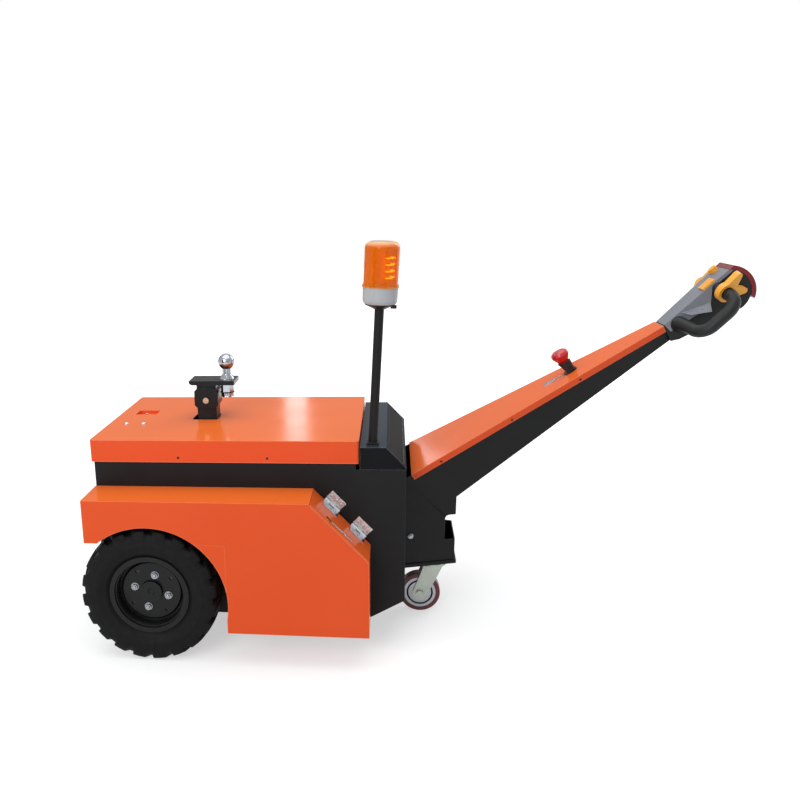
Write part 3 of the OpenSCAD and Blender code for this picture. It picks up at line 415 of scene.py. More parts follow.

# %% [markdown]
# ### Moulded plastic and rubber
# The control head is textured ABS, its grips and base are glass-filled nylon, the yellow throttles are
# acetal. Their moulds are spark eroded, which leaves a grain of about 0.3 mm. It is drawn at 2 mm or a
# little more, on plastics and rubbers alike, because at its real size it wouldn't show. The shine comes
# from the roughness.

# %% Plastics of the head, the switch and the beacon
# Nylon from a spark-eroded mould: black that never mirrors sharply, and a painted grey highlight
# along its edges.
looks["black_plastic"] = finish(
    "nylon_black_textured", "#191A1B", drift=(40, "#1F2021"), relief=(2.2, 0.05), gloss=(18, 0.36, 0.5),
    edge=(1.2, "#303234"), Specular_IOR_Level=0.24)
# Textured ABS: an even cool grey with a painted pale highlight on its edges.
looks["head_grey"] = finish(
    "abs_grey_textured", "#7A7D85", drift=(45, "#71747C"), relief=(2.2, 0.06), gloss=(20, 0.38, 0.52),
    edge=(1.2, "#A2A5AC"))
# Dip-moulded vinyl: deep red with a dull, rubbery shine.
looks["belly_red"] = finish(
    "soft_vinyl_dark_red", "#7C2428", drift=(30, "#6E1E22"), relief=(2.5, 0.04), gloss=(18, 0.34, 0.46),
    Specular_IOR_Level=0.35)
# Slippery acetal: warm yellow with a soft highlight.
looks["yellow_plastic"] = finish(
    "acetal_yellow", "#EFA92C", drift=(30, "#E79A20"), relief=(2, 0.03), gloss=(15, 0.28, 0.4))
# ABS from a polished mould: bright red with a sharp highlight from its skin.
looks["red_plastic"] = finish(
    "abs_red_gloss", "#C3141E", drift=(20, "#B30F18"), gloss=(12, 0.16, 0.26),
    Coat_Weight=0.4, Coat_Roughness=0.06)
# Plain ABS housing: pale grey and even.
looks["beacon_grey"] = finish(
    "abs_pale_grey", "#AEB0B3", drift=(30, "#A4A6AA"), relief=(2, 0.03), gloss=(15, 0.34, 0.46))
print("finishes so far:", len(looks))

# %% Battery case, rubber and polyurethane
# Moulded polypropylene: dark grey and waxy.
looks["battery_case"] = finish(
    "polypropylene_battery", "#383B40", drift=(60, "#303338"), relief=(2, 0.05), gloss=(30, 0.45, 0.6))
# Carbon black rubber with a bloom: nearly no colour, and a painted grey sheen on its edges.
looks["tyre_rubber"] = finish(
    "rubber_carbon_black", "#101011", drift=(25, "#151516"), relief=(3, 0.08), gloss=(20, 0.5, 0.68),
    edge=(2.5, "#303133"), Specular_IOR_Level=0.12)
# Poured polyurethane: dark red with a smooth, slightly wet sheen.
looks["caster_pu"] = finish(
    "polyurethane_dark_red", "#6A1828", drift=(20, "#5C1422"), relief=(2.5, 0.03), gloss=(12, 0.26, 0.4))
print("finishes so far:", len(looks))

# %% [markdown]
# ### The amber lens
# The beacon's cap is clear polycarbonate tinted amber, so light goes into it and comes out orange. Full
# glass would look thin and bright in front of a white wall. A mix of clear and scattering keeps the deep
# colour of the real one and still lets the lamps behind it show. Solid polycarbonate has an IOR of 1.585,
# but the cap is a thin shell that bends light much less, and a lower IOR stands for that.

# %% Amber polycarbonate and what glows in it
# Tinted and glossy: a deep orange with sharp highlights.
looks["amber_lens"] = finish(
    "polycarbonate_amber", "#F09408", drift=(40, "#EA8A06"), gloss=(20, 0.05, 0.1),
    Transmission_Weight=0.7, IOR=1.2, Coat_Weight=0.15, Coat_Roughness=0.03)
# the domed top is painted paler, a painted highlight of the light from above
paint_light_on_level_faces(looks["amber_lens"], "#FFEFD4", 0.2, 0.8)
# Orange ABS: a reflector that fills the lens with colour.
looks["lamp_core"] = finish(
    "abs_amber_reflector", "#F0A030", drift=(10, "#E89424"), gloss=(8, 0.2, 0.35))
# Lit diodes: yellow bars that show through the amber.
lamp_glow = finish(
    "led_yellow", "#FFD24A", drift=(4, "#FFC83C"), gloss=(4, 0.2, 0.3),
    Emission_Color=linear("#FFD860"), Emission_Strength=5.0)
print("finishes in all:", len(looks))

# %% [markdown]
# ## Dressing the solids
# Sheet metal and mouldings have no knife edges, and a small round is what makes an edge catch light. Rounds
# could be cut into the meshes, but the solids are kept as they are: a weld, a bevel, a smoothing angle and
# weighted normals are laid over them as modifiers. The smoothing is a small node group, so that one angle
# serves all.

# %% Smoothing by angle as a node group
SHARP_DEG = 38


def smoothing(degrees):
    """A modifier group that shades smooth and keeps edges sharper than an angle."""
    group = bpy.data.node_groups.new("smooth_by_angle", "GeometryNodeTree")
    group.interface.new_socket("Geometry", in_out="INPUT", socket_type="NodeSocketGeometry")
    group.interface.new_socket("Geometry", in_out="OUTPUT", socket_type="NodeSocketGeometry")
    start = add(group, "NodeGroupInput")
    bare = add(group, "GeometryNodeRemoveAttribute", {"Geometry": start.outputs[0], "Name": "custom_normal"})
    faces = add(group, "GeometryNodeSetShadeSmooth", {"Geometry": bare.outputs[0]}, domain="FACE")
    angle = add(group, "GeometryNodeInputMeshEdgeAngle")
    soft = add(group, "FunctionNodeCompare", {0: angle.outputs[0], 1: math.radians(degrees)},
               operation="LESS_THAN")
    edges = add(group, "GeometryNodeSetShadeSmooth",
                {"Geometry": faces.outputs[0], "Shade Smooth": soft.outputs[0]}, domain="EDGE")
    add(group, "NodeGroupOutput", {0: edges.outputs[0]})
    return group


smooth_group = smoothing(SHARP_DEG)
print("edges stay sharp over", SHARP_DEG, "degrees")

# %% [markdown]
# The round is wider on mouldings than on folded sheet, and very small on thin pieces such as hinge leaves.
# Each solid's finish comes from the slot that the record gives it. Only the hitch's cross bolt has one of
# its own.

# %% Materials and rounded edges on the solids
# round in mm for the nodes whose edges are softer or crisper than most
ROUND = {"top_cover": 1.6, "arm_cover": 1.4, "head_shell": 3.0, "head_base": 2.5, "belly_button": 4.0,
         "throttle_left": 3.0, "throttle_right": 3.0, "head_buttons": 1.6, "ball_plate": 2.0,
         "hitch_post": 3.0, "hitch_sleeve": 1.5, "chassis_shell": 1.5, "arm_frame": 1.5, "base_plate": 2.0,
         "console": 1.2, "fender_left": 0.7, "fender_right": 0.7, "tow_ball": 0.6, "hinge_fixed_left": 0.4,
         "hinge_fixed_right": 0.4, "hinge_moving_left": 0.4, "hinge_moving_right": 0.4, "switch_tether": 0.4}
COMMON_ROUND = 0.8
WELD = 0.02
OWN_LOOK = {"hitch_bolt": zinc_yellow}


def dress(name, material):
    """Give one solid its finish and its soft edges."""
    solid = frame["nodes"][name]
    solid.data.materials.clear()
    solid.data.materials.append(OWN_LOOK.get(name, material))
    weld = solid.modifiers.new("weld", "WELD")
    weld.merge_threshold = WELD * MM
    bevel = solid.modifiers.new("soft_edges", "BEVEL")
    bevel.width = ROUND.get(name, COMMON_ROUND) * MM
    bevel.segments = 2
    bevel.limit_method = "ANGLE"
    bevel.angle_limit = math.radians(SHARP_DEG)
    smooth = solid.modifiers.new("smooth", "NODES")
    smooth.node_group = smooth_group
    weighted = solid.modifiers.new("normals", "WEIGHTED_NORMAL")
    weighted.keep_sharp = True


record = frame["record"]
for part in record["subparts"]:
    dress(part["node"], looks[part["material_slot"]])
print("solids dressed:", len(record["subparts"]))

# %% [markdown]
# ## Making new pieces
# What the solids leave out is made here: fasteners, seals and trim. Each could be modelled by hand, but a
# short list of sizes is easier to read and to change. One function turns points and faces into a piece that
# rides on a body, so that a screw moves with the flap that it holds.

# %% One function for a piece
def piece(name, points, faces, look, slot, body, sharp=SHARP_DEG):
    """A new mesh piece with its finish, riding on a body."""
    mesh = bpy.data.meshes.new(name)
    mesh.from_pydata([tuple(p) for p in points], [], faces)
    mesh.validate()
    mesh.polygons.foreach_set("use_smooth", [True] * len(mesh.polygons))
    mesh.set_sharp_from_angle(angle=math.radians(sharp))
    mesh.materials.append(look)
    obj = bpy.data.objects.new(name, mesh)
    scene.collection.objects.link(obj)
    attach(obj, body)
    print(name, "faces:", len(mesh.polygons))
    return obj


def reversed_faces(faces):
    """The same faces looking the other way, for a mirrored piece."""
    return [tuple(reversed(face)) for face in faces]


joint_at = {j["name"]: Vector(j["pos_m"]) for j in record["behaviour"]["joints"]}
SIDES = (("left", -1), ("right", 1))
print("joints to ride on:", len(joint_at))

# %% [markdown]
# Turned pieces are built from rings: each ring is a radius and a height, round or hexagonal, and faces join
# ring to ring. That one idea gives washers, nuts, drums and screw heads. A second function stamps such a
# shape at many places as one joined mesh, and a third finds the place that stands on a surface.

# %% Rings, stamps and places
def ring_stack(rings, sides=24):
    """Closed shape about z from rings of radius mm, height mm and 'round' or 'hex'."""
    points, faces = [], []
    for radius, height, form in rings:
        for k in range(sides):
            a = math.tau * k / sides
            reach = radius
            if form == "hex":
                reach = radius * math.cos(math.pi / 6) / math.cos(a % (math.pi / 3) - math.pi / 6)
            points.append(Vector((reach * math.cos(a), reach * math.sin(a), height)) * MM)
    for r in range(len(rings) - 1):
        for k in range(sides):
            n = (k + 1) % sides
            faces.append((r * sides + k, r * sides + n, (r + 1) * sides + n, (r + 1) * sides + k))
    faces.append(tuple(range(sides - 1, -1, -1)))
    faces.append(tuple((len(rings) - 1) * sides + k for k in range(sides)))
    return points, faces


def stamp(shape, places):
    """One joined mesh of a shape at several places."""
    points, faces = [], []
    for place in places:
        start = len(points)
        points += [place @ p for p in shape[0]]
        faces += [tuple(start + i for i in face) for face in shape[1]]
    return points, faces


def facing(at, out, spin=0.0):
    """A place whose z axis points out of a surface."""
    turn = Vector(out).to_track_quat("Z", "Y").to_matrix().to_4x4()
    return Matrix.Translation(at) @ turn @ Matrix.Rotation(spin, 4, "Z")


print("helpers for turned pieces ready")

# %% [markdown]
# ## Drive wheels
# The tyre is the piece that takes the most care: a pneumatic traction tyre with twenty chevron lugs either
# side of a centre rib. The solid has its form with few faces. A subdivided copy would round the lugs away,
# so the same section is swept again with rounded lug edges, moulded rings on the side wall and a softer
# shoulder, and it takes the solid's place.

# %% Shape of a lugged tyre
LUGS = 20
LUG_LEAD = math.radians(5)
LUG_START = -0.03
# half section in mm: out from the middle, radius on a lug, radius between lugs, share of the lead
TYRE_HALF = [
    (35.6, 103.8, 103.8, 0), (35.6, 117.6, 117.6, 0), (37.5, 119.4, 119.4, 0), (42.2, 124.5, 124.5, 0),
    (44.2, 126.0, 126.0, 0), (45.0, 128.0, 128.0, 0), (45.4, 130.5, 130.5, 0), (48.6, 138.0, 138.0, 0),
    (50.9, 145.0, 145.0, 0), (52.2, 152.0, 152.0, 0), (52.4, 157.0, 157.0, 0), (51.4, 158.5, 158.5, 0),
    (51.4, 164.0, 163.5, 0), (51.0, 170.0, 168.0, 0), (50.0, 175.5, 171.5, 0), (47.4, 186.0, 178.5, 0),
    (45.2, 192.6, 183.0, 0), (42.6, 195.6, 185.6, 0), (38.0, 197.2, 187.0, 0.15), (25.0, 198.8, 188.8, 0.58),
    (12.4, 199.7, 189.7, 1), (9.2, 199.9, 198.2, 1), (8.0, 200.0, 199.9, 1), (0, 200.0, 200.0, 1),
]
# across one lug pitch: share of the pitch, share of the lug's height
LUG_ACROSS = [(0.0, 0.0), (0.012, 0.12), (0.05, 0.9), (0.068, 1.0), (0.34, 1.0), (0.612, 1.0), (0.63, 0.9),
              (0.668, 0.12), (0.68, 0.0), (0.84, 0.0)]


def tyre_shape():
    """Points and faces of a tyre about z, before it is put on its axle."""
    section = [(-y, on, off, lead) for y, on, off, lead in TYRE_HALF] + TYRE_HALF[-2::-1]
    rows = len(section)
    points, faces = [], []
    for k in range(LUGS):
        for share, height in LUG_ACROSS:
            for y, on, off, lead in section:
                a = math.tau * (k + share + LUG_START) / LUGS + LUG_LEAD * lead
                r = off + (on - off) * height
                points.append(Vector((r * math.cos(a), r * math.sin(a), y)) * MM)
    turns = LUGS * len(LUG_ACROSS)
    for i in range(turns):
        for j in range(rows):
            i2, j2 = (i + 1) % turns, (j + 1) % rows
            faces.append((i * rows + j, i2 * rows + j, i2 * rows + j2, i * rows + j2))
    return points, faces


tyre_points, tyre_faces = tyre_shape()
print("points in a tyre:", len(tyre_points))

# %% [markdown]
# The lugs point forward on both sides, so the right tyre is the left one in a mirror and not the left one
# turned round. A mirror turns faces inside out, and their order is reversed to turn them back.

# %% Tyres on their axles
for side, sign in SIDES:
    mirror = Matrix.Scale(-sign, 4, (0, 1, 0))
    on_axle = Matrix.Translation(joint_at["drive_" + side]) @ mirror @ facing((0, 0, 0), (0, -1, 0))
    faces = tyre_faces if sign < 0 else reversed_faces(tyre_faces)
    tyre = piece("tyre_tread_" + side, [on_axle @ p for p in tyre_points], faces,
                 looks["tyre_rubber"], "tyre_rubber", "drive_wheel_" + side, sharp=50)
    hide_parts("tyre_" + side)

# %% [markdown]
# Four flange nuts hold each rim, and a cast brake drum fills the rim behind its disc. Both turn with the
# wheel. The nut is one stack of rings, from washer face to stud end, and each is spun a little differently,
# as no fitter leaves four nuts in line.

# %% Wheel nuts and brake drums
NUT = ring_stack([
    (11.5, 0, "round"), (11.5, 2, "round"), (10, 2.2, "hex"), (10, 8, "hex"), (8.6, 9.4, "round"),
    (5.6, 9.4, "round"), (5.2, 7.6, "round"), (5, 7.6, "round"), (4.6, 12.2, "round"), (3.4, 13, "round")])
DRUM = ring_stack([(76, 0, "round"), (84, 3, "round"), (84, 30, "round"), (80, 33, "round")], sides=48)
NUTS = 4
BOLT_CIRCLE = 50 * MM
FIRST_NUT = math.radians(-14)
NUT_SPIN = 0.4
DISC_OUT = 8 * MM
DRUM_OUT = -32 * MM
for side, sign in SIDES:
    hub = joint_at["drive_" + side]
    places = []
    for k in range(NUTS):
        a = FIRST_NUT + math.tau * k / NUTS
        spot = hub + Vector((BOLT_CIRCLE * math.cos(a), sign * DISC_OUT, BOLT_CIRCLE * math.sin(a)))
        places.append(facing(spot, (0, sign, 0), spin=NUT_SPIN * k))
    piece("wheel_nuts_" + side, *stamp(NUT, places), zinc_dark, "zinc", "drive_wheel_" + side)
    drum = facing(hub + Vector((0, sign * DRUM_OUT, 0)), (0, sign, 0))
    piece("brake_drum_" + side, *stamp(DRUM, [drum]), looks["cast_drive"], "cast_drive",
          "drive_wheel_" + side)

# %% [markdown]
# ## Wheel arches
# The wheel arch runs on round the tyre down to the panel's front edge. On the real fender it is one
# laser-cut sheet. The solid's panel stops in a square corner there. Solids are not edited here, so a corner
# plate of the same sheet fills it out to the arch's curve.

# %% Arch corner plates
ARCH_FROM_AXLE = (7.0, -13.0)
ARCH_R, PANEL_EDGE, PANEL_TOP, LAP = 224.0, 220.0, 363.0, 4.0
SKIN = (411.0, 413.96)
ARC_STEPS = 16
for side, sign in SIDES:
    hub = joint_at["drive_" + side] / MM
    arch_x, arch_z = hub.x + ARCH_FROM_AXLE[0], hub.z + ARCH_FROM_AXLE[1]
    first, last = math.asin((PANEL_TOP + LAP - arch_z) / ARCH_R), math.acos(PANEL_EDGE / ARCH_R)
    turns = [first + (last - first) * k / ARC_STEPS for k in range(ARC_STEPS + 1)]
    outline = [(arch_x + ARCH_R * math.cos(a), arch_z + ARCH_R * math.sin(a)) for a in turns]
    outline += [(outline[-1][0] + LAP, outline[-1][1]), (outline[-1][0] + LAP, PANEL_TOP + LAP)]
    count = len(outline)
    points = [Vector((x, sign * y, z)) * MM for y in SKIN for x, z in outline]
    faces = [tuple(range(count)), tuple(range(2 * count - 1, count - 1, -1))]
    faces += [(k, k + count, (k + 1) % count + count, (k + 1) % count) for k in range(count)]
    faces = faces if sign < 0 else reversed_faces(faces)
    piece("arch_corner_" + side, points, faces, looks["orange_paint"], "orange_paint", "chassis")

# %% [markdown]
# ## Control head
# The two grip loops are moulded tubes, bent in a drooping plane. The solid has sixteen flats round the
# tube, which show as facets up close. A Blender curve with a bevel would be round, but its radius and its
# ends are easier to steer as a mesh. So one function bends a path and another sweeps a ring along it.

# %% Bent paths and swept tubes
def rounded_path(corners, radius, steps):
    """A flat path through corners, each bent to a radius."""
    path = [Vector(corners[0])]
    for before, corner, after in zip(corners, corners[1:], corners[2:]):
        came = (Vector(corner) - Vector(before)).normalized()
        goes = (Vector(after) - Vector(corner)).normalized()
        turn = came.angle_signed(goes)
        start = Vector(corner) - came * radius * math.tan(abs(turn) / 2)
        side = Vector((-came.y, came.x)) * (-1 if turn > 0 else 1)
        middle = start + side * radius
        for k in range(steps + 1):
            spun = Matrix.Rotation(-turn * k / steps, 2)
            path.append(middle + spun @ (start - middle))
    return path + [Vector(corners[-1])]


def swept(path, radii, sides, closed=False):
    """A round tube along points, each with its own radius."""
    points, faces = [], []
    count = len(path)
    normal = None
    for i, p in enumerate(path):
        back = path[i - 1] if i or closed else p
        ahead = path[(i + 1) % count] if i < count - 1 or closed else p
        heading = (ahead - back).normalized()
        if normal is None:
            normal = heading.orthogonal().normalized()
        normal = (normal - heading * normal.dot(heading)).normalized()
        other = heading.cross(normal)
        for k in range(sides):
            a = math.tau * k / sides
            points.append(p + radii[i] * (math.cos(a) * normal + math.sin(a) * other))
    for i in range(count if closed else count - 1):
        n = (i + 1) % count
        for k in range(sides):
            m = (k + 1) % sides
            faces.append((i * sides + k, i * sides + m, n * sides + m, n * sides + k))
    if not closed:
        faces.append(tuple(range(sides - 1, -1, -1)))
        faces.append(tuple((count - 1) * sides + k for k in range(sides)))
    return points, faces


print("helpers for tubes ready")

# %% [markdown]
# The loop's path is drawn flat and then laid into the drooping plane. Both of its ends run on into the
# head, where they turn level and sink, so that they can't come out through the head's top. The lower root
# flares where it enters the head, as the moulding does.

# %% Path of a grip loop
HEAD_TILT = math.radians(45)
GRIP_DROOP = math.radians(29)
HEAD_AT = (699.60, 896.70)
HEAD_WIDTHS = (78.0, 112.0)
NOSE = (170.0, 72.0)
GRIP_TOP = (161.0, -11.0)
GRIP_OUT, GRIP_ROOT, GRIP_RAKE, GRIP_BEND, GRIP_R = 100.0, 26.0, 14.0, 40.0, 17.0
TOP_INSIDE, ROOT_INSIDE = 18.0, 36.0
ROOT_DROP, DROP_RUN, SINK = 11.0, 60.0, 0.3
BEND_STEPS = 14
# growth of the tube's radius along its flaring root
FLARE = (1.0, 1.02, 1.08, 1.2, 1.36, 1.4)

head_half = (HEAD_WIDTHS[0] + (HEAD_WIDTHS[1] - HEAD_WIDTHS[0]) * GRIP_TOP[0] / sum(NOSE)) / 2
head_place = Matrix.Translation(Vector((HEAD_AT[0], 0, HEAD_AT[1])) * MM)
head_place = head_place @ Matrix.Rotation(-HEAD_TILT, 4, "Y")
grip_place = head_place @ Matrix.Translation(Vector((0, -head_half, GRIP_TOP[1])) * MM)
grip_place = grip_place @ Matrix.Rotation(GRIP_DROOP, 4, "X")


def grip_point(p):
    """A place on the grip: in the drooping plane outside, then level and sinking inside the head."""
    near_root = max(0.0, min(1.0, (p.y + DROP_RUN) / DROP_RUN))
    drop = ROOT_DROP * near_root if p.x < GRIP_TOP[0] / 2 else 0.0
    if p.y > 0:
        return head_place @ (Vector((p.x, p.y - head_half, GRIP_TOP[1] - drop - SINK * p.y)) * MM)
    return grip_place @ (Vector((p.x, p.y, -drop)) * MM)


corners = [(GRIP_TOP[0], TOP_INSIDE), (GRIP_TOP[0], -GRIP_OUT), (GRIP_ROOT + GRIP_RAKE, -GRIP_OUT),
           (GRIP_ROOT, ROOT_INSIDE)]
flat = rounded_path(corners, GRIP_BEND, BEND_STEPS)
root = [flat[-2].lerp(flat[-1], (k + 1) / len(FLARE)) for k in range(len(FLARE))]
radii = [GRIP_R * MM] * (len(flat) - 1) + [GRIP_R * growth * MM for growth in FLARE]
grip_line = [grip_point(p) for p in flat[:-1] + root]
print("points along a grip:", len(grip_line))

# %% [markdown]
# The path is the left loop's, and its mirror image is the right one's. Thirty-six flats round the tube are
# enough for a smooth outline in a close view.

# %% Grip loops
GRIP_SIDES = 36
for side, sign in SIDES:
    mirror = Matrix.Scale(-sign, 4, (0, 1, 0))
    points, faces = swept([mirror @ p for p in grip_line], radii, GRIP_SIDES)
    grip = piece("grip_tube_" + side, points, faces, looks["black_plastic"], "black_plastic", "chassis",
                 sharp=60)
    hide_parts("grip_" + side)

# %% [markdown]
# ## Beacon lamps
# Inside the amber cap, rows of diodes stand round the reflector and show as short bright bars. They could
# be painted on the reflector as a pattern, but real bars keep their place when the view changes. Each is a
# short curved bar in front of the core.

# %% Lamp bars
POLE_AT = (-96.92, -239.0, 607.2)
POLE_LEAN = math.radians(2.8)
POLE_TALL, BRACKET_TALL, BASE_TALL, SEAM = 372, 12, 46, 0.6
LAMP_ROWS, LAMP_PITCH, LAMP_FOOT = 4, 17.0, 24
LAMP_TURNS = (-0.93, 0.5)
LAMP_R, LAMP_DEEP, LAMP_TALL = 36.0, 2, 3.0
LAMP_HALF, LAMP_STEPS = 0.32, 8
LAMP_SECTION = ((LAMP_R - LAMP_DEEP, 0), (LAMP_R, 0), (LAMP_R, LAMP_TALL), (LAMP_R - LAMP_DEEP, LAMP_TALL))
lens_foot = POLE_TALL + BRACKET_TALL + BASE_TALL + SEAM
lens_place = Matrix.Translation(Vector(POLE_AT) * MM) @ Matrix.Rotation(POLE_LEAN, 4, "Y")
lens_place = lens_place @ Matrix.Translation((0, 0, lens_foot * MM))


def lamp_bar(turn):
    """One bar about the lens's axis: a four-sided section along a short arc."""
    points, faces = [], []
    for k in range(LAMP_STEPS + 1):
        a = turn + LAMP_HALF * (2 * k / LAMP_STEPS - 1)
        points += [Vector((r * math.cos(a), r * math.sin(a), z)) * MM for r, z in LAMP_SECTION]
    for k in range(LAMP_STEPS):
        for j in range(4):
            m = (j + 1) % 4
            faces.append((4 * k + j, 4 * k + 4 + j, 4 * k + 4 + m, 4 * k + m))
    faces += [(3, 2, 1, 0), tuple(4 * LAMP_STEPS + j for j in range(4))]
    return points, faces


points, faces = [], []
for row in range(LAMP_ROWS):
    lift = lens_place @ Matrix.Translation((0, 0, (LAMP_FOOT + row * LAMP_PITCH) * MM))
    for turn in LAMP_TURNS:
        bar_points, bar_faces = stamp(lamp_bar(turn), [lift])
        faces += [tuple(len(points) + i for i in face) for face in bar_faces]
        points += bar_points
piece("beacon_lamps", points, faces, lamp_glow, "lamp_core", "chassis")

# %% [markdown]
# ## Hinge screws
# Each hinge leaf is held by three flush screws. Those of the fixed leaf stay on the chassis, and those of
# the moving leaf turn with the flap. They could be placed by eye, but they are laid out along the hinge
# line, from the joint's own axis, so that they stay on the leaves that carry them.

# %% Screws of the fixed and moving leaves
FLUSH_SCREW = ring_stack([(3.6, 0, "round"), (3.6, 0.3, "round"), (3.0, 0.7, "round"), (1.8, 0.8, "round"),
                          (1.5, 0.8, "hex"), (1.4, 0.2, "hex")])
HINGE_STEPS = (-42, 62)
LEAF_STEPS = (-18, 0, 18)
PIVOT_RISE = 5.4
WALL_LEAF_OUT, WALL_LEAF_RISE = 281.25, 23.0
FLAP_LEAF_OUT, FLAP_LEAF_TOP = 312.0, 2.25
joint_axis = {j["name"]: Vector(j["axis"]) for j in record["behaviour"]["joints"]}
# down the flap's slope, and straight up out of it
down = -joint_axis["flap_left_open"]
up = Vector((-down.z, 0, down.x))


def on_slope(side, along, rise):
    """A place on the slope's middle line: mm down from the hinge's pivot, and mm above the panel."""
    pivot = joint_at[f"flap_{side}_open"]
    foot = Vector((pivot.x, 0, pivot.z)) - up * PIVOT_RISE * MM
    return foot + down * along * MM + up * rise * MM


for side, sign in SIDES:
    wall_out, leaf_out = (Vector((0, sign * out * MM, 0)) for out in (WALL_LEAF_OUT, FLAP_LEAF_OUT))
    steps = [step + shift for step in HINGE_STEPS for shift in LEAF_STEPS]
    wall = [facing(on_slope(side, step, WALL_LEAF_RISE) + wall_out, (0, sign, 0)) for step in steps]
    leaf = [facing(on_slope(side, step, FLAP_LEAF_TOP) + leaf_out, up) for step in steps]
    piece("hinge_screws_fixed_" + side, *stamp(FLUSH_SCREW, wall), looks["zinc"], "zinc", "chassis")
    piece("hinge_screws_moving_" + side, *stamp(FLUSH_SCREW, leaf), looks["zinc"], "zinc", "flap_" + side)

# %% [markdown]
# ## Lid screws
# Two button screws with washers hold the lid down beside its pocket, a nut stands in the pocket, and two
# painted screws hold each side of its flange. They are stacks of rings like the nuts. The lid's own box
# gives the height of its top and the reach of its sides, so that they sit on it.

# %% Screws and nut of the lid
BUTTON_SCREW = ring_stack([(9.5, 0, "round"), (9.5, 1.2, "round"), (6.4, 1.4, "round"), (6.0, 2.8, "round"),
                           (4.6, 4.0, "round"), (2.8, 4.4, "round"), (2.5, 4.4, "hex"), (2.4, 2.6, "hex")])
LID_SCREWS = [(-0.8456, -0.0900), (-0.7922, -0.0900)]
POCKET_NUT, POCKET_DEEP = (-0.817, 0.041), 0.012
FLANGE_SCREWS_X = (-0.642, -0.388)
FLANGE_SCREW_Z = 0.5745
lid_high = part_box("top_cover")[1]
places = [facing((x, y, lid_high[2]), (0, 0, 1)) for x, y in LID_SCREWS]
piece("lid_screws", *stamp(BUTTON_SCREW, places), looks["stainless"], "stainless", "chassis")
places = [facing((*POCKET_NUT, lid_high[2] - POCKET_DEEP), (0, 0, 1))]
piece("lid_pocket_nut", *stamp(NUT, places), looks["stainless"], "stainless", "chassis")
places = [facing((x, sign * lid_high[1], FLANGE_SCREW_Z), (0, sign, 0))
          for x in FLANGE_SCREWS_X for side, sign in SIDES]
piece("lid_flange_screws", *stamp(FLUSH_SCREW, places), looks["chassis_paint"], "chassis_paint", "chassis")

# %% [markdown]
# ## Arm screws
# The arm's cover is held by dark screws in its flange, and a bolt with a washer goes through each side of
# the leg. The arm tapers and its sides lean, so no simple offset fits. A function works out the place and
# the facing of a spot on the side from the arm's angles.

# %% Screws of the arm's cover and leg
HEX_BOLT = ring_stack([(8.5, 0, "round"), (8.5, 1.4, "round"), (7, 1.5, "hex"), (7, 5.4, "hex"),
                       (6, 6.1, "round"), (2, 6.2, "round")])
ARM_ROOT = (10.08, 497.0)
ARM_ANGLE, ARM_TOE, ARM_LEAN = (math.radians(a) for a in (30.1, 17.3, 11.7))
ARM_ROOT_W = 340.0
COVER_OUT = 3.0
FLANGE_MIDDLE = -11.0
ARM_SCREWS_X = (93.5, 289.5, 475.5)
LEG_BOLT = (11.0, 292.0)


def arm_side(x, z, sign, out=0.0):
    """A place on the arm's leaning side, out from it, and the direction that it faces."""
    half = ARM_ROOT_W / 2 - (x - ARM_ROOT[0]) * math.tan(ARM_TOE)
    half += (z - ARM_ROOT[1]) * math.tan(ARM_LEAN) / math.cos(ARM_TOE)
    face = Vector((math.tan(ARM_TOE), sign, -math.tan(ARM_LEAN) / math.cos(ARM_TOE))).normalized()
    return (Vector((x, sign * half, z)) + face * out) * MM, face


places = []
for x in ARM_SCREWS_X:
    z = ARM_ROOT[1] + (x - ARM_ROOT[0]) * math.tan(ARM_ANGLE) + FLANGE_MIDDLE / math.cos(ARM_ANGLE)
    places += [facing(*arm_side(x, z, sign, COVER_OUT)) for side, sign in SIDES]
piece("arm_cover_screws", *stamp(FLUSH_SCREW, places), looks["chassis_paint"], "chassis_paint", "chassis")
places = [facing(*arm_side(*LEG_BOLT, sign)) for side, sign in SIDES]
piece("leg_bolts", *stamp(HEX_BOLT, places), zinc_dark, "zinc", "chassis")

# %% [markdown]
# ## Hitch washers and lock nut
# Under its plate the tow ball's shank carries a washer, its nut, a second washer and a lock nut. The solid
# has the shank and the nut. The rest is stacked below from rings, at heights that come from the boxes of
# the plate and the ball.

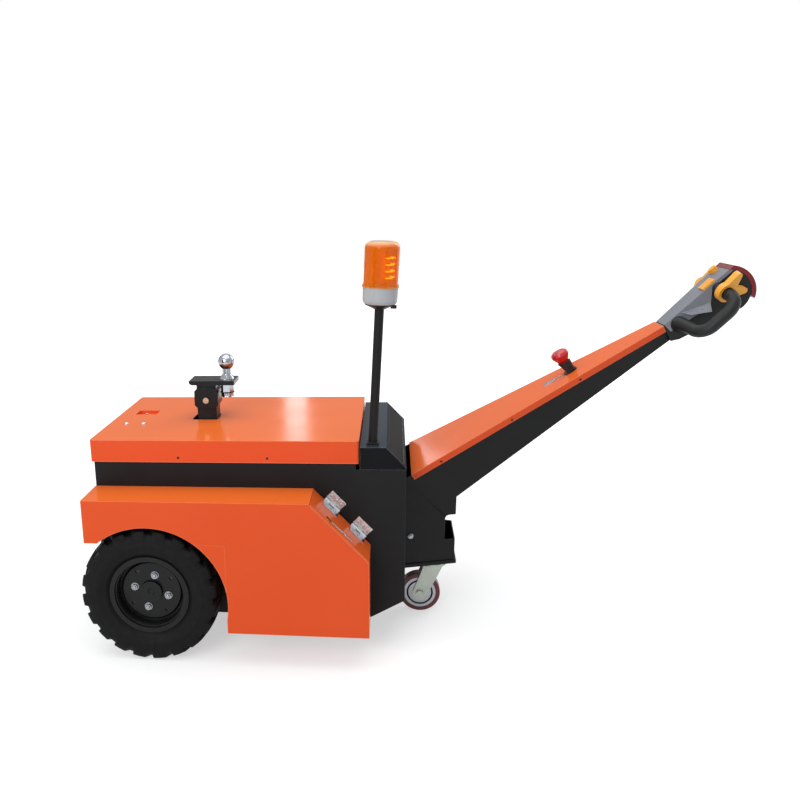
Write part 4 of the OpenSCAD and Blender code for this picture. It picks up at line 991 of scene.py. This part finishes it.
# %% Washers and lock nut
WASHER = ring_stack([(20, 0, "round"), (22, 0.6, "round"), (22, 2.6, "round"), (20, 3.2, "round")], sides=36)
LOCK_NUT = ring_stack([(18, 0, "round"), (19.5, 1, "hex"), (19.5, 12, "hex"), (18, 13, "round")], sides=36)
PLATE_GAP, WASHER_LAP, NUT_DROP = 0.2, 1.6, 1.4
ball_low, ball_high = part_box("tow_ball")
plate_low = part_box("ball_plate")[0]
middle = [(a + b) / 2 for a, b in zip(ball_low, ball_high)]
heights = (plate_low[2] - PLATE_GAP * MM, ball_low[2] + WASHER_LAP * MM, ball_low[2] - NUT_DROP * MM)
places = [facing((middle[0], middle[1], z), (0, 0, -1)) for z in heights]
piece("ball_nut_washers", *stamp(WASHER, places[:2]), looks["hitch_gloss"], "hitch_gloss", "chassis")
piece("ball_lock_nut", *stamp(LOCK_NUT, places[2:]), looks["chrome"], "chrome", "chassis")

# %% [markdown]
# ## Caster seals
# A thin rubber ring on each face of the caster's wheel keeps dirt out of its bearing. A torus from
# Blender's menu would do, but the sweep that made the grips also closes on itself, and then the ring
# follows the axle.

# %% Rubber rings on the caster wheel
SEAL_R, SEAL_OUT, SEAL_THICK = 38.0, 16.0, 1.4
SEAL_STEPS, SEAL_SIDES = 64, 8
for side, sign in SIDES:
    axle = joint_at["caster_roll"] + Vector((0, sign * SEAL_OUT * MM, 0))
    turns = [math.tau * k / SEAL_STEPS for k in range(SEAL_STEPS)]
    ring = [axle + Vector((SEAL_R * math.cos(a), 0, SEAL_R * math.sin(a))) * MM for a in turns]
    points, faces = swept(ring, [SEAL_THICK * MM] * SEAL_STEPS, SEAL_SIDES, closed=True)
    piece("caster_seal_" + side, points, faces, looks["tyre_rubber"], "tyre_rubber", "caster_wheel",
          sharp=80)

# %% [markdown]
# ## Flap latches
# A bent wire lies along the outer lip of each flap's finger slot, with a small bow in its middle. It is too
# thin for a solid that has to collide, so it is swept here along a few points on the slope and rides on its
# flap.

# %% Wires along the finger slots
# in mm: down the slope from its upper edge, out from the tractor's middle, above the panel
LATCH = [(80, 391.5, 1.2), (119, 391.5, 1.2), (122, 389.6, 1.4), (126, 388.6, 1.8), (130, 389.6, 1.4),
         (133, 391.5, 1.2), (156, 391.5, 1.2)]
PIVOT_STEP = 110
WIRE_R, WIRE_SIDES = 1.2, 12
for side, sign in SIDES:
    line = [on_slope(side, s - PIVOT_STEP, t) + Vector((0, sign * y * MM, 0)) for s, y, t in LATCH]
    points, faces = swept(line, [WIRE_R * MM] * len(line), WIRE_SIDES)
    piece("flap_latch_" + side, points, faces, looks["stainless"], "stainless", "flap_" + side, sharp=60)
